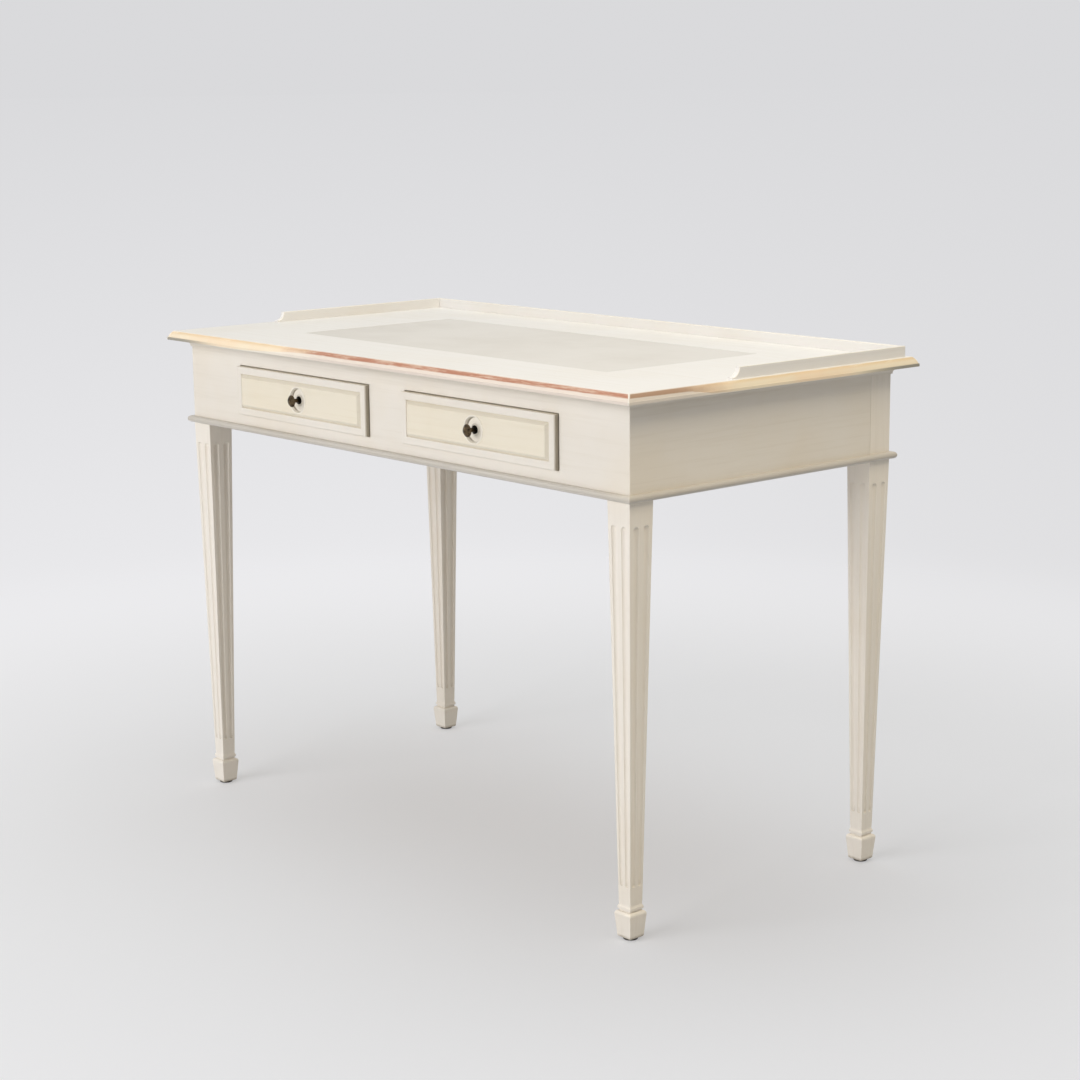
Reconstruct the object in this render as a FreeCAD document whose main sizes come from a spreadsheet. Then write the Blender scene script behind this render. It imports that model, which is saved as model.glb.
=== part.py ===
import FreeCAD, Part
import math
import os
import re
import Sketcher

# A painted writing table: two drawers in the frieze, fluted tapered legs on spade feet,
# an inset leather writing surface and a low gallery round three sides of the top.
# Frame: origin on the floor under the middle of the table, X to the right, Y to the back, Z up.

# Driving sizes in millimetres.
sizes_mm = {
    # the case: legs and frieze boards
    "case_width": 1004,
    "case_depth": 508,
    "desk_height": 742,
    "frieze_height": 131,
    "apron_thickness": 20,
    "post_size": 42,
    "joint_clearance": 0.15,
    "overrun": 5,
    # mortise and tenon joints
    "tenon_thickness": 8,
    "tenon_shoulder": 6,
    "tenon_wall": 4,
    "stub_length": 8,
    # legs
    "toe_size": 25,
    "toe_chamfer": 1.5,
    "foot_height": 40,
    "shoulder_size": 30.6,
    "shoulder_drop": 5,
    "shoulder_inset": 3.2,
    "neck_size": 21.4,
    "neck_height": 3,
    "collar_size": 24.8,
    "collar_height": 3,
    "ankle_size": 22.4,
    "flare_height": 7,
    "flute_rise": 25,
    "flute_drop": 37,
    "glide_thickness": 3,
    "glide_radius": 10,
    # table top
    "top_thickness": 14,
    "top_overhang": 28,
    "edge_width": 42,
    "edge_slope": 8,
    "edge_quirk": 1.2,
    "lip_height": 4.5,
    "cove_depth": 9,
    "cove_height": 10,
    "cove_fillet": 1.5,
    "leather_length": 690,
    "leather_width": 294,
    "leather_thickness": 1.6,
    "leather_sink": 0.2,
    # bead round the foot of the frieze
    "bead_height": 10,
    "bead_depth": 8,
    # gallery
    "gallery_height": 15.5,
    "gallery_thickness": 8.6,
    "gallery_side_inset": 12.5,
    "gallery_back_inset": 17,
    "gallery_front": 83,
    "gallery_sweep": 12,
    "dowel_radius": 2.5,
    "dowel_depth": 8,
    # corner braces and their screws
    "brace_thickness": 22,
    "brace_height": 38,
    "brace_clearance": 1,
    "wood_screw_radius": 2.2,
    "wood_screw_head_radius": 4.5,
    "wood_screw_head": 3,
    "wood_screw_bite": 8,
    # drawer openings and runners
    "outer_stile_width": 92,
    "centre_stile_width": 82,
    "bottom_rail_height": 25.5,
    "drawer_gap": 1.5,
    "runner_clearance": 0.3,
    "runner_thickness": 14,
    "runner_ledge": 22,
    "guide_thickness": 10,
    "guide_height": 16,
    "guide_gap": 0.8,
    "kicker_width": 40,
    "stop_length": 20,
    "stop_height": 12,
    # drawers
    "drawer_front_height": 74,
    "drawer_front_thickness": 20.5,
    "drawer_proud": 5.5,
    "drawer_rear_space": 63,
    "drawer_side_thickness": 12,
    "drawer_side_height": 66,
    "drawer_back_drop": 8,
    "rebate_depth": 10,
    "bottom_thickness": 5,
    "bottom_rise": 8,
    "groove_depth": 6,
    "frame_width": 11,
    "frame_thickness": 2.5,
    "frame_round": 1.5,
    "frame_step": 1.2,
    "field_gap": 0.2,
    "field_bevel": 5,
    "field_height": 5,
    # knobs
    "rosette_radius": 20.5,
    "rosette_rim_width": 1.8,
    "rosette_lip": 0.8,
    "rosette_depth": 4.2,
    "rosette_wall": 2,
    "rosette_thickness": 0.8,
    "rosette_clearance": 0.2,
    "rosette_boss_radius": 7,
    "rosette_boss_slope": 1,
    "rosette_boss": 1,
    "knob_length": 19,
    "knob_radius": 9,
    "knob_neck_radius": 3,
    "knob_flange_radius": 6,
    "knob_flange": 1.6,
    "knob_bore_depth": 9,
    "bolt_radius": 2,
    "bolt_clearance": 0.2,
    "bolt_head_radius": 4.5,
    "bolt_head": 2.6,
}

# Shares that set proportions of a shape.
cove_curve_share = 0.71
band_curve_share = 1.6
bead_nose_share = 0.45
ovolo_curve_share = 0.8
sweep_curve_share = 0.95
shoulder_curve_share = 0.75
flute_spacing_share = 0.23
flute_radius_share = 0.135
flute_offset_share = 0.35
side_dowel_shares = (0.15, 0.5, 0.85)
back_dowel_shares = (-0.4, 0, 0.4)
knob_neck_share = 0.6
knob_brim_share = 0.74
knob_flare_share = 0.8
knob_dome_share = 1.09

# Heights and half sizes that many pieces share.
half_width = "case_width / 2"
half_depth = "case_depth / 2"
top_underside = "(desk_height - top_thickness)"
case_low = f"({top_underside} - frieze_height)"
opening_low = f"({case_low} + bottom_rail_height)"
opening_height = "(drawer_front_height + 2 * drawer_gap)"
opening_high = f"({opening_low} + {opening_height})"
inner_x = f"({half_width} - post_size)"
inner_y = f"({half_depth} - post_size)"
opening_width = f"({inner_x} - outer_stile_width - centre_stile_width / 2)"
drawer_front_width = f"({opening_width} - 2 * drawer_gap)"
drawer_pitch = f"({opening_width} + centre_stile_width)"
board_x = f"({half_width} - apron_thickness)"
board_y = f"({half_depth} - apron_thickness)"
tenon_length = "(post_size - (apron_thickness + tenon_thickness) / 2 - tenon_wall)"
tenon_inset = "((apron_thickness - tenon_thickness) / 2)"
collar_low = "(foot_height + neck_height)"
collar_high = f"({collar_low} + collar_height)"
ankle_height = f"({collar_high} + flare_height)"

doc = FreeCAD.newDocument("writing_table")
sheet = doc.addObject("Spreadsheet::Sheet", "Sizes")
for row, (alias, size) in enumerate(sizes_mm.items(), 1):
    sheet.set(f"A{row}", str(size))
    sheet.setAlias(f"A{row}", alias)
doc.recompute()

nodes = {}


def cell(word):
    return f"Sizes.{word[0]}" if word[0] in sizes_mm else word[0]


def formula(text):
    """An expression in the sheet's own cells, from plain size names."""
    return re.sub(r"[a-z_]+", cell, str(text))


def number(text):
    return float(sheet.evalExpression(formula(text)))


def ordered(first, second, sign):
    """Two places along an axis, the lower one first."""
    return (first, second) if sign > 0 else (second, first)


def keep(node, piece):
    piece.Label = node
    nodes[node] = piece
    return piece


def put(piece, x=0, y=0, z=0):
    for axis, place in zip("xyz", (x, y, z)):
        piece.setExpression(f"Placement.Base.{axis}", formula(place))
    return piece


def turn(piece, axis, degrees):
    piece.Placement.Rotation = FreeCAD.Rotation(FreeCAD.Vector(axis), degrees)
    return piece


def block(name, low, high):
    """A squared piece between two opposite corners."""
    piece = doc.addObject("Part::Box", name)
    for side, start, end in zip(("Length", "Width", "Height"), low, high):
        piece.setExpression(side, formula(f"({end}) - ({start})"))
    return put(piece, *low)


def rod(name, place, radius, length, axis="z"):
    """A round piece that runs from a place along +Z, or along -Y."""
    piece = doc.addObject("Part::Cylinder", name)
    piece.setExpression("Radius", formula(radius))
    piece.setExpression("Height", formula(length))
    if axis == "-y":
        turn(piece, (1, 0, 0), 90)
    return put(piece, *place)


def gather(name, pieces):
    group = doc.addObject("Part::Compound", name)
    group.Links = pieces
    return group


def fuse(name, pieces):
    whole = doc.addObject("Part::MultiFuse", name)
    whole.Shapes = pieces
    whole.Refine = True
    return whole


def cut(name, base, waste):
    rest = doc.addObject("Part::Cut", name)
    rest.Base = base
    rest.Tool = waste[0] if len(waste) == 1 else fuse(f"{name}_waste", waste)
    return rest


def mirror(name, source, normal):
    copy = doc.addObject("Part::Mirroring", name)
    copy.Source = source
    copy.Normal = FreeCAD.Vector(normal)
    return copy


def outline(sketch, corners):
    """Draws one closed outline. A corner is (x, y), or (x, y, radius, way) where an arc that
    bends left or right leads on to the next corner."""
    first = sketch.GeometryCount
    count = len(corners)
    places = [FreeCAD.Vector(number(corner[0]), number(corner[1]), 0) for corner in corners]
    ends = []
    for index, corner in enumerate(corners):
        start = places[index]
        finish = places[(index + 1) % count]
        if len(corner) == 2:
            sketch.addGeometry(Part.LineSegment(start, finish))
            ends.append((1, 2))
            continue
        radius = number(corner[2])
        bends_left = corner[3] == "left"
        chord = finish - start
        normal = FreeCAD.Vector(-chord.y, chord.x, 0).normalize()
        reach = math.sqrt(radius ** 2 - (chord.Length / 2) ** 2)
        centre = (start + finish) / 2 + normal * (reach if bends_left else -reach)
        tail, head = (start, finish) if bends_left else (finish, start)
        angles = [math.atan2(point.y - centre.y, point.x - centre.x) for point in (tail, head)]
        circle = Part.Circle(centre, FreeCAD.Vector(0, 0, 1), radius)
        sketch.addGeometry(Part.ArcOfCircle(circle, *angles))
        ends.append((1, 2) if bends_left else (2, 1))
        bind_constraint(sketch, Sketcher.Constraint("Radius", first + index, radius), corner[2])
    for index, corner in enumerate(corners):
        line = first + index
        following = (index + 1) % count
        joint = Sketcher.Constraint("Coincident", line, ends[index][1], first + following, ends[following][0])
        sketch.addConstraint(joint)
        for kind, text in zip(("DistanceX", "DistanceY"), corner):
            place = Sketcher.Constraint(kind, -1, 1, line, ends[index][0], number(text))
            bind_constraint(sketch, place, text)


def round_hole(sketch, x, y, radius):
    centre = FreeCAD.Vector(number(x), number(y), 0)
    line = sketch.addGeometry(Part.Circle(centre, FreeCAD.Vector(0, 0, 1), number(radius)))
    bind_constraint(sketch, Sketcher.Constraint("DistanceX", -1, 1, line, 3, number(x)), x)
    bind_constraint(sketch, Sketcher.Constraint("DistanceY", -1, 1, line, 3, number(y)), y)
    bind_constraint(sketch, Sketcher.Constraint("Radius", line, number(radius)), radius)


def bind_constraint(sketch, constraint, text):
    index = sketch.addConstraint(constraint)
    sketch.setExpression(f"Constraints[{index}]", formula(text))


def origin_feature(body, role):
    return next(feature for feature in body.Origin.OriginFeatures if feature.Role == role)


def body_sketch(body, name, plane):
    sketch = body.newObject("Sketcher::SketchObject", name)
    sketch.AttachmentSupport = [(origin_feature(body, plane), "")]
    sketch.MapMode = "FlatFace"
    return sketch


def padded(name, plane, corners, length, holes=()):
    """A board of one outline, its thickness shared evenly about the plane."""
    body = doc.addObject("PartDesign::Body", name)
    sketch = body_sketch(body, f"{name}_outline", plane)
    outline(sketch, corners)
    for hole in holes:
        round_hole(sketch, *hole)
    pad = body.newObject("PartDesign::Pad", f"{name}_pad")
    pad.Profile = sketch
    pad.Midplane = True
    pad.setExpression("Length", formula(length))
    return body


def turned(name, corners):
    """A piece turned on a lathe about its own Y axis."""
    body = doc.addObject("PartDesign::Body", name)
    sketch = body_sketch(body, f"{name}_outline", "XY_Plane")
    outline(sketch, corners)
    spin = body.newObject("PartDesign::Revolution", f"{name}_spin")
    spin.Profile = sketch
    spin.ReferenceAxis = (origin_feature(body, "Y_Axis"), [""])
    return body


def mitred_strip(name, corners, length, width):
    """A moulding along X with its outer edge at Y 0, mitred at both ends."""
    body = padded(name, "YZ_Plane", corners, length)
    doc.recompute()
    whole = body.Shape.Volume
    sketch = body_sketch(body, f"{name}_mitres", "XY_Plane")
    far = f"({length}) / 2 + overrun"
    near = f"({length}) / 2 - ({width}) - overrun"
    deep = f"({width}) + overrun"
    outline(sketch, [(far, "-overrun"), (far, deep), (near, deep)])
    outline(sketch, [(f"-({far})", "-overrun"), (f"-({near})", deep), (f"-({far})", deep)])
    mitres = body.newObject("PartDesign::Pocket", f"{name}_mitre_cuts")
    mitres.Profile = sketch
    mitres.Type = "ThroughAll"
    mitres.Midplane = True
    doc.recompute()
    if body.Shape.Volume >= whole:
        raise RuntimeError(f"{name} kept its square ends")
    return body


def mitred_ring(prefix, corners, outer_x, outer_y, low, width):
    """Four mitred strips round the table, named for the sides that they face."""
    runs = {
        "front": (0, f"2 * ({outer_x})", "0", f"-({outer_y})"),
        "right": (90, f"2 * ({outer_y})", outer_x, "0"),
        "back": (180, f"2 * ({outer_x})", "0", outer_y),
        "left": (270, f"2 * ({outer_y})", f"-({outer_x})", "0"),
    }
    strips = {}
    for side, (degrees, length, x, y) in runs.items():
        strip = mitred_strip(f"{prefix}_{side}_strip", corners, length, width)
        turn(strip, (0, 0, 1), degrees)
        strips[side] = put(strip, x, y, low)
    return strips


# Legs

def leg_profile(name):
    """The leg's outline, the same from the front and from the side."""
    shoulder_curve = f"{shoulder_curve_share} * sqrt(shoulder_drop ^ 2 + shoulder_inset ^ 2)"
    stations = [
        ("toe_size / 2 - toe_chamfer", "glide_thickness"),
        ("toe_size / 2", "glide_thickness + toe_chamfer"),
        ("shoulder_size / 2", "foot_height - shoulder_drop", shoulder_curve, "left"),
        ("shoulder_size / 2 - shoulder_inset", "foot_height"),
        ("neck_size / 2", "foot_height"),
        ("neck_size / 2", collar_low),
        ("collar_size / 2", collar_low),
        ("collar_size / 2", collar_high),
        ("ankle_size / 2", ankle_height),
        ("post_size / 2", case_low),
        ("post_size / 2", top_underside),
    ]
    mirrored = []
    for index in reversed(range(len(stations))):
        bend = stations[index - 1][2:] if index else ()
        mirrored.append((f"-({stations[index][0]})", stations[index][1], *bend))
    sketch = doc.addObject("Sketcher::SketchObject", f"{name}_outline")
    outline(sketch, stations + mirrored)
    return sketch


def leg_sawn(name, degrees):
    """The outline sawn through a square blank, across one pair of faces."""
    sketch = leg_profile(name)
    upright = FreeCAD.Rotation(FreeCAD.Vector(1, 0, 0), 90)
    sketch.Placement.Rotation = FreeCAD.Rotation(FreeCAD.Vector(0, 0, 1), degrees) * upright
    blank = doc.addObject("Part::Extrusion", name)
    blank.Base = sketch
    blank.DirMode = "Normal"
    blank.Symmetric = True
    blank.Solid = True
    blank.setExpression("LengthFwd", formula("post_size + 2 * overrun"))
    return blank


def face_width(height):
    taper = f"(({height}) - {ankle_height}) / ({case_low} - {ankle_height})"
    return f"(ankle_size + (post_size - ankle_size) * {taper})"


def flute(name, across_sign, face):
    """One stopped flute down a leg face, narrowing with the leg, round at both ends."""
    rings = []
    parts = []
    ends = (("low", f"{ankle_height} + flute_rise", -90, 0), ("high", f"{case_low} - flute_drop", 0, 90))
    for end, height, lower, upper in ends:
        radius = f"{flute_radius_share} * {face_width(height)}"
        across = f"{across_sign * flute_spacing_share} * {face_width(height)}"
        out = f"{face_width(height)} / 2 + {flute_offset_share} * {radius}"
        place = [
            (across, f"-({out})", height),
            (out, across, height),
            (f"-({across})", out, height),
            (f"-({out})", f"-({across})", height),
        ][face]
        ring = doc.addObject("Part::Circle", f"{name}_{end}_ring")
        ring.setExpression("Radius", formula(radius))
        rings.append(put(ring, *place))
        ball = doc.addObject("Part::Sphere", f"{name}_{end}_round")
        ball.setExpression("Radius", formula(radius))
        ball.Angle1 = lower
        ball.Angle2 = upper
        parts.append(put(ball, *place))
    hollow = doc.addObject("Part::Loft", f"{name}_hollow")
    hollow.Sections = rings
    hollow.Solid = True
    hollow.Ruled = True
    return fuse(name, [hollow, *parts])


def mortise(name, toward_x, low, high):
    """A mortise in a leg's inner face, on X for front and back boards and on Y for side boards."""
    half_post = "post_size / 2"
    inner = f"{half_post} - {tenon_inset} - tenon_thickness - joint_clearance"
    outer = f"{half_post} - {tenon_inset} + joint_clearance"
    deep = f"-({half_post}) + {tenon_length} + joint_clearance"
    mouth = f"-({half_post}) - overrun"
    lower = f"({low}) - joint_clearance"
    upper = f"({high}) + joint_clearance"
    if toward_x:
        return block(name, (mouth, inner, lower), (deep, outer, upper))
    return block(name, (inner, mouth, lower), (outer, deep, upper))


tall_tenon = (f"{case_low} + tenon_shoulder", f"{top_underside} - tenon_shoulder")
low_tenon = (f"{case_low} + tenon_shoulder", opening_low)
high_tenon = (opening_high, f"{top_underside} - tenon_shoulder")

sawn_leg = doc.addObject("Part::Common", "sawn_leg")
sawn_leg.Base = leg_sawn("leg_front_sawn", 0)
sawn_leg.Tool = leg_sawn("leg_side_sawn", 90)
flutes = []
for face in range(4):
    for hand, across_sign in (("a", -1), ("b", 1)):
        flutes.append(flute(f"flute_{face}_{hand}", across_sign, face))
fluted_leg = cut("fluted_leg", sawn_leg, flutes)

# A leg's mortises are laid out for the back right corner, where both inner faces look to -X and -Y.
back_right_leg = cut("back_right_leg", fluted_leg, [
    mortise("back_leg_mortise_x", True, *tall_tenon),
    mortise("back_leg_mortise_y", False, *tall_tenon),
])
front_pattern_leg = cut("front_pattern_leg", fluted_leg, [
    mortise("front_leg_mortise_low", True, *low_tenon),
    mortise("front_leg_mortise_high", True, *high_tenon),
    mortise("front_leg_mortise_y", False, *tall_tenon),
])
leg_x = f"{half_width} - post_size / 2"
leg_y = f"{half_depth} - post_size / 2"
put(back_right_leg, leg_x, leg_y)
put(front_pattern_leg, leg_x, leg_y)
front_right_leg = mirror("front_right_leg", front_pattern_leg, (0, 1, 0))
keep("leg_back_right", back_right_leg)
keep("leg_back_left", mirror("back_left_leg", back_right_leg, (1, 0, 0)))
keep("leg_front_right", front_right_leg)
keep("leg_front_left", mirror("front_left_leg", front_right_leg, (1, 0, 0)))

glides = []
for x_sign in (-1, 1):
    for y_sign in (-1, 1):
        place = (f"{x_sign} * ({leg_x})", f"{y_sign} * ({leg_y})", "0")
        glides.append(rod("glide", place, "glide_radius", "glide_thickness"))
keep("foot_glides", gather("glide_set", glides))


# Frieze boards

def board_along_x(name, y_low, low, high, tenon):
    """A frieze board between two legs, with a tenon at each end."""
    y_high = f"{y_low} + apron_thickness"
    tenon_low = f"{y_low} + {tenon_inset}"
    reach = f"{inner_x} + {tenon_length}"
    plain = block(f"{name}_board", (f"-{inner_x}", y_low, low), (inner_x, y_high, high))
    tongue = block(
        f"{name}_tenons",
        (f"-({reach})", tenon_low, tenon[0]),
        (reach, f"{tenon_low} + tenon_thickness", tenon[1]),
    )
    return fuse(name, [plain, tongue])


def board_along_y(name, x_low):
    x_high = f"{x_low} + apron_thickness"
    tenon_low = f"{x_low} + {tenon_inset}"
    reach = f"{inner_y} + {tenon_length}"
    plain = block(f"{name}_board", (x_low, f"-{inner_y}", case_low), (x_high, inner_y, top_underside))
    tongue = block(
        f"{name}_tenons",
        (tenon_low, f"-({reach})", tall_tenon[0]),
        (f"{tenon_low} + tenon_thickness", reach, tall_tenon[1]),
    )
    return fuse(name, [plain, tongue])


front_y = f"-({half_depth})"
keep("apron_back", board_along_x("back_apron", board_y, case_low, top_underside, tall_tenon))
keep("apron_left", board_along_y("left_apron", f"-({half_width})"))
keep("apron_right", board_along_y("right_apron", board_x))

stile_spans = {
    "left": (f"-{inner_x}", f"-{inner_x} + outer_stile_width"),
    "centre": ("-centre_stile_width / 2", "centre_stile_width / 2"),
    "right": (f"{inner_x} - outer_stile_width", inner_x),
}
stub_low = f"{front_y} + {tenon_inset}"
stub_high = f"{stub_low} + tenon_thickness"
stub_mortises = {"low": [], "high": []}
for side, (x_low, x_high) in stile_spans.items():
    plain = block(
        f"{side}_stile_board",
        (x_low, front_y, opening_low),
        (x_high, f"{front_y} + apron_thickness", opening_high),
    )
    tongue = block(
        f"{side}_stile_tenons",
        (f"{x_low} + tenon_shoulder", stub_low, f"{opening_low} - stub_length"),
        (f"{x_high} - tenon_shoulder", stub_high, f"{opening_high} + stub_length"),
    )
    keep(f"front_stile_{side}", fuse(f"{side}_stile", [plain, tongue]))
    mortise_low = (f"{x_low} + tenon_shoulder - joint_clearance", f"{stub_low} - joint_clearance")
    mortise_high = (f"{x_high} - tenon_shoulder + joint_clearance", f"{stub_high} + joint_clearance")
    reaches = {
        "low": (f"{opening_low} - stub_length - joint_clearance", f"{opening_low} + overrun"),
        "high": (f"{opening_high} - overrun", f"{opening_high} + stub_length + joint_clearance"),
    }
    for rail, (z_low, z_high) in reaches.items():
        waste = block(f"{side}_stile_mortise_{rail}", (*mortise_low, z_low), (*mortise_high, z_high))
        stub_mortises[rail].append(waste)
low_rail = board_along_x("bottom_rail_blank", front_y, case_low, opening_low, low_tenon)
high_rail = board_along_x("top_rail_blank", front_y, opening_high, top_underside, high_tenon)
keep("front_rail_bottom", cut("bottom_rail", low_rail, stub_mortises["low"]))
keep("front_rail_top", cut("top_rail", high_rail, stub_mortises["high"]))

# Mouldings planted on the frieze

bead_nose = f"{bead_nose_share} * bead_height"
bead_curve = f"((bead_height / 2) ^ 2 + ({bead_nose}) ^ 2) / (2 * {bead_nose})"
bead_outline = [
    ("bead_depth", "0"),
    ("bead_depth", "bead_height"),
    (bead_nose, "bead_height", bead_curve, "left"),
    (bead_nose, "0"),
]
bead_x = f"{half_width} + bead_depth"
bead_y = f"{half_depth} + bead_depth"
for side, strip in mitred_ring("bead", bead_outline, bead_x, bead_y, case_low, "bead_depth").items():
    keep(f"bead_{side}", strip)

cove_curve = f"{cove_curve_share} * sqrt((cove_depth - cove_fillet) ^ 2 + (cove_height - cove_fillet) ^ 2)"
cove_outline = [
    ("cove_depth", "0"),
    ("cove_depth", "cove_height"),
    ("0", "cove_height"),
    ("0", "cove_height - cove_fillet", cove_curve, "right"),
    ("cove_depth - cove_fillet", "0"),
]
cove_x = f"{half_width} + cove_depth"
cove_y = f"{half_depth} + cove_depth"
cove_low = f"{top_underside} - cove_height"
for side, strip in mitred_ring("cove", cove_outline, cove_x, cove_y, cove_low, "cove_depth").items():
    keep(f"cove_{side}", strip)

# Gallery places, which the dowel holes in the top follow

top_x = f"({half_width} + top_overhang)"
top_y = f"({half_depth} + top_overhang)"
rail_x = f"({top_x} - gallery_side_inset)"
rail_y = f"({top_y} - gallery_back_inset)"
rail_run = f"({rail_y} + gallery_front)"
dowel_spots = {"left": [], "right": [], "back": []}
for share in side_dowel_shares:
    spot_y = f"-gallery_front + {share} * {rail_run}"
    dowel_spots["left"].append((f"-{rail_x} + gallery_thickness / 2", spot_y))
    dowel_spots["right"].append((f"{rail_x} - gallery_thickness / 2", spot_y))
for share in back_dowel_shares:
    dowel_spots["back"].append((f"{share} * 2 * {rail_x}", f"{rail_y} - gallery_thickness / 2"))


def dowel_holes(side, low, high):
    radius = "dowel_radius + joint_clearance"
    places = [(x, y, low) for x, y in dowel_spots[side]]
    return [rod(f"{side}_dowel_hole", place, radius, f"({high}) - ({low})") for place in places]


# Table top

band_curve = f"{band_curve_share} * sqrt((edge_slope - edge_quirk) ^ 2 + (top_thickness - lip_height) ^ 2)"
edge_outline = [
    ("0", "0"),
    ("edge_width", "0"),
    ("edge_width", "top_thickness"),
    ("edge_slope", "top_thickness", band_curve, "left"),
    ("edge_quirk", "lip_height"),
    ("0", "lip_height"),
]
dowel_low = "desk_height - dowel_depth - joint_clearance"
for side, strip in mitred_ring("edge", edge_outline, top_x, top_y, top_underside, "edge_width").items():
    if side in dowel_spots:
        strip = cut(f"edge_{side}_drilled", strip, dowel_holes(side, dowel_low, "desk_height + overrun"))
    keep(f"top_edge_{side}", strip)

core_x = f"({top_x} - edge_width)"
core_y = f"({top_y} - edge_width)"
core = block("core_blank", (f"-{core_x}", f"-{core_y}", top_underside), (core_x, core_y, "desk_height"))
leather_low = "desk_height - leather_sink - leather_thickness"
recess_x = "leather_length / 2 + joint_clearance"
recess_y = "leather_width / 2 + joint_clearance"
recess = block(
    "leather_recess",
    (f"-({recess_x})", f"-({recess_y})", leather_low),
    (recess_x, recess_y, "desk_height + overrun"),
)
keep("writing_leather", block(
    "leather_sheet",
    ("-leather_length / 2", "-leather_width / 2", leather_low),
    ("leather_length / 2", "leather_width / 2", "desk_height - leather_sink"),
))

# Corner braces, glued across the inside corners and screwed up into the top

brace_start = "(2 * (post_size - apron_thickness) + brace_clearance)"
brace_end = f"({brace_start} + sqrt(2) * brace_thickness)"
brace_middle = f"(({brace_start} + {brace_end}) / 4)"
brace_outline = [(brace_start, "0"), (brace_end, "0"), ("0", brace_end), ("0", brace_start)]
brace_hole = (brace_middle, brace_middle, "wood_screw_radius + joint_clearance")
brace_low = f"{top_underside} - brace_height"
brace_corners = {
    "front_left": (0, -1, -1),
    "front_right": (90, 1, -1),
    "back_right": (180, 1, 1),
    "back_left": (270, -1, 1),
}
braces = []
brace_screws = []
pilot_holes = []
for corner, (degrees, x_sign, y_sign) in brace_corners.items():
    brace = padded(f"{corner}_brace", "XY_Plane", brace_outline, "brace_height", [brace_hole])
    turn(brace, (0, 0, 1), degrees)
    put(brace, f"{x_sign} * {board_x}", f"{y_sign} * {board_y}", f"{brace_low} + brace_height / 2")
    braces.append(brace)
    screw_x = f"{x_sign} * ({board_x} - {brace_middle})"
    screw_y = f"{y_sign} * ({board_y} - {brace_middle})"
    shank_length = "brace_height + wood_screw_bite"
    shank = rod("wood_shank", (screw_x, screw_y, brace_low), "wood_screw_radius", shank_length)
    head_low = f"{brace_low} - wood_screw_head"
    head = rod("wood_head", (screw_x, screw_y, head_low), "wood_screw_head_radius", "wood_screw_head")
    brace_screws.append(fuse(f"{corner}_wood_screw", [shank, head]))
    pilot_place = (screw_x, screw_y, f"{top_underside} - overrun")
    pilot_radius = "wood_screw_radius + joint_clearance"
    pilot_length = "overrun + wood_screw_bite + joint_clearance"
    pilot_holes.append(rod("pilot_hole", pilot_place, pilot_radius, pilot_length))
keep("corner_braces", gather("brace_set", braces))
keep("brace_screws", gather("brace_screw_set", brace_screws))
keep("top_panel", cut("core_panel", core, [recess, *pilot_holes]))

# Gallery

sweep_curve = f"{sweep_curve_share} * sqrt(gallery_sweep ^ 2 + gallery_height ^ 2)"
side_rail_outline = [
    ("-gallery_front", "0"),
    (rail_y, "0"),
    (rail_y, "gallery_height"),
    ("-gallery_front + gallery_sweep", "gallery_height", sweep_curve, "right"),
]
rail_bores = ("desk_height - overrun", "desk_height + dowel_depth + joint_clearance")
for side, x_sign in (("left", -1), ("right", 1)):
    rail = padded(f"{side}_rail_blank", "YZ_Plane", side_rail_outline, "gallery_thickness")
    put(rail, f"{x_sign} * ({rail_x} - gallery_thickness / 2)", "0", "desk_height")
    keep(f"gallery_{side}", cut(f"{side}_rail", rail, dowel_holes(side, *rail_bores)))
back_rail = block(
    "back_rail_blank",
    (f"-{rail_x} + gallery_thickness", f"{rail_y} - gallery_thickness", "desk_height"),
    (f"{rail_x} - gallery_thickness", rail_y, "desk_height + gallery_height"),
)
keep("gallery_back", cut("back_rail", back_rail, dowel_holes("back", *rail_bores)))
dowels = []
for side, spots in dowel_spots.items():
    for x, y in spots:
        place = (x, y, "desk_height - dowel_depth")
        dowels.append(rod(f"{side}_dowel", place, "dowel_radius", "2 * dowel_depth"))
keep("gallery_dowels", gather("dowel_set", dowels))

# Drawer runners, kickers and stops inside the case

box_half = f"{drawer_front_width} / 2"
drawer_rear = f"({board_y} - drawer_rear_space)"
stop_blocks = []
for side, x_sign in (("left", -1), ("right", 1)):
    centre = f"{x_sign} * {drawer_pitch} / 2"
    for place, hand in (("inner", -x_sign), ("outer", x_sign)):
        ledge = f"{centre} + {hand} * ({box_half} - runner_ledge)"
        guide = f"{centre} + {hand} * ({box_half} + guide_gap)"
        edge = f"{guide} + {hand} * guide_thickness"
        runner_outline = [
            (ledge, f"{opening_low} - runner_thickness"),
            (edge, f"{opening_low} - runner_thickness"),
            (edge, f"{opening_low} + guide_height"),
            (guide, f"{opening_low} + guide_height"),
            (guide, opening_low),
            (ledge, opening_low),
        ]
        runner = padded(f"{side}_{place}_runner", "XZ_Plane", runner_outline, f"2 * {board_y}")
        keep(f"runner_{side}_{place}", runner)
        low_x, high_x = ordered(ledge, guide, hand)
        stop_blocks.append(block(
            f"{side}_{place}_stop",
            (low_x, f"{drawer_rear} + runner_clearance", opening_low),
            (high_x, f"{drawer_rear} + runner_clearance + stop_length", f"{opening_low} + stop_height"),
        ))
    keep(f"kicker_{side}", block(
        f"{side}_kicker",
        (f"{centre} - kicker_width / 2", f"-{board_y}", opening_high),
        (f"{centre} + kicker_width / 2", board_y, top_underside),
    ))
keep("drawer_stops", gather("stop_set", stop_blocks))

# Drawers

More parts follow.
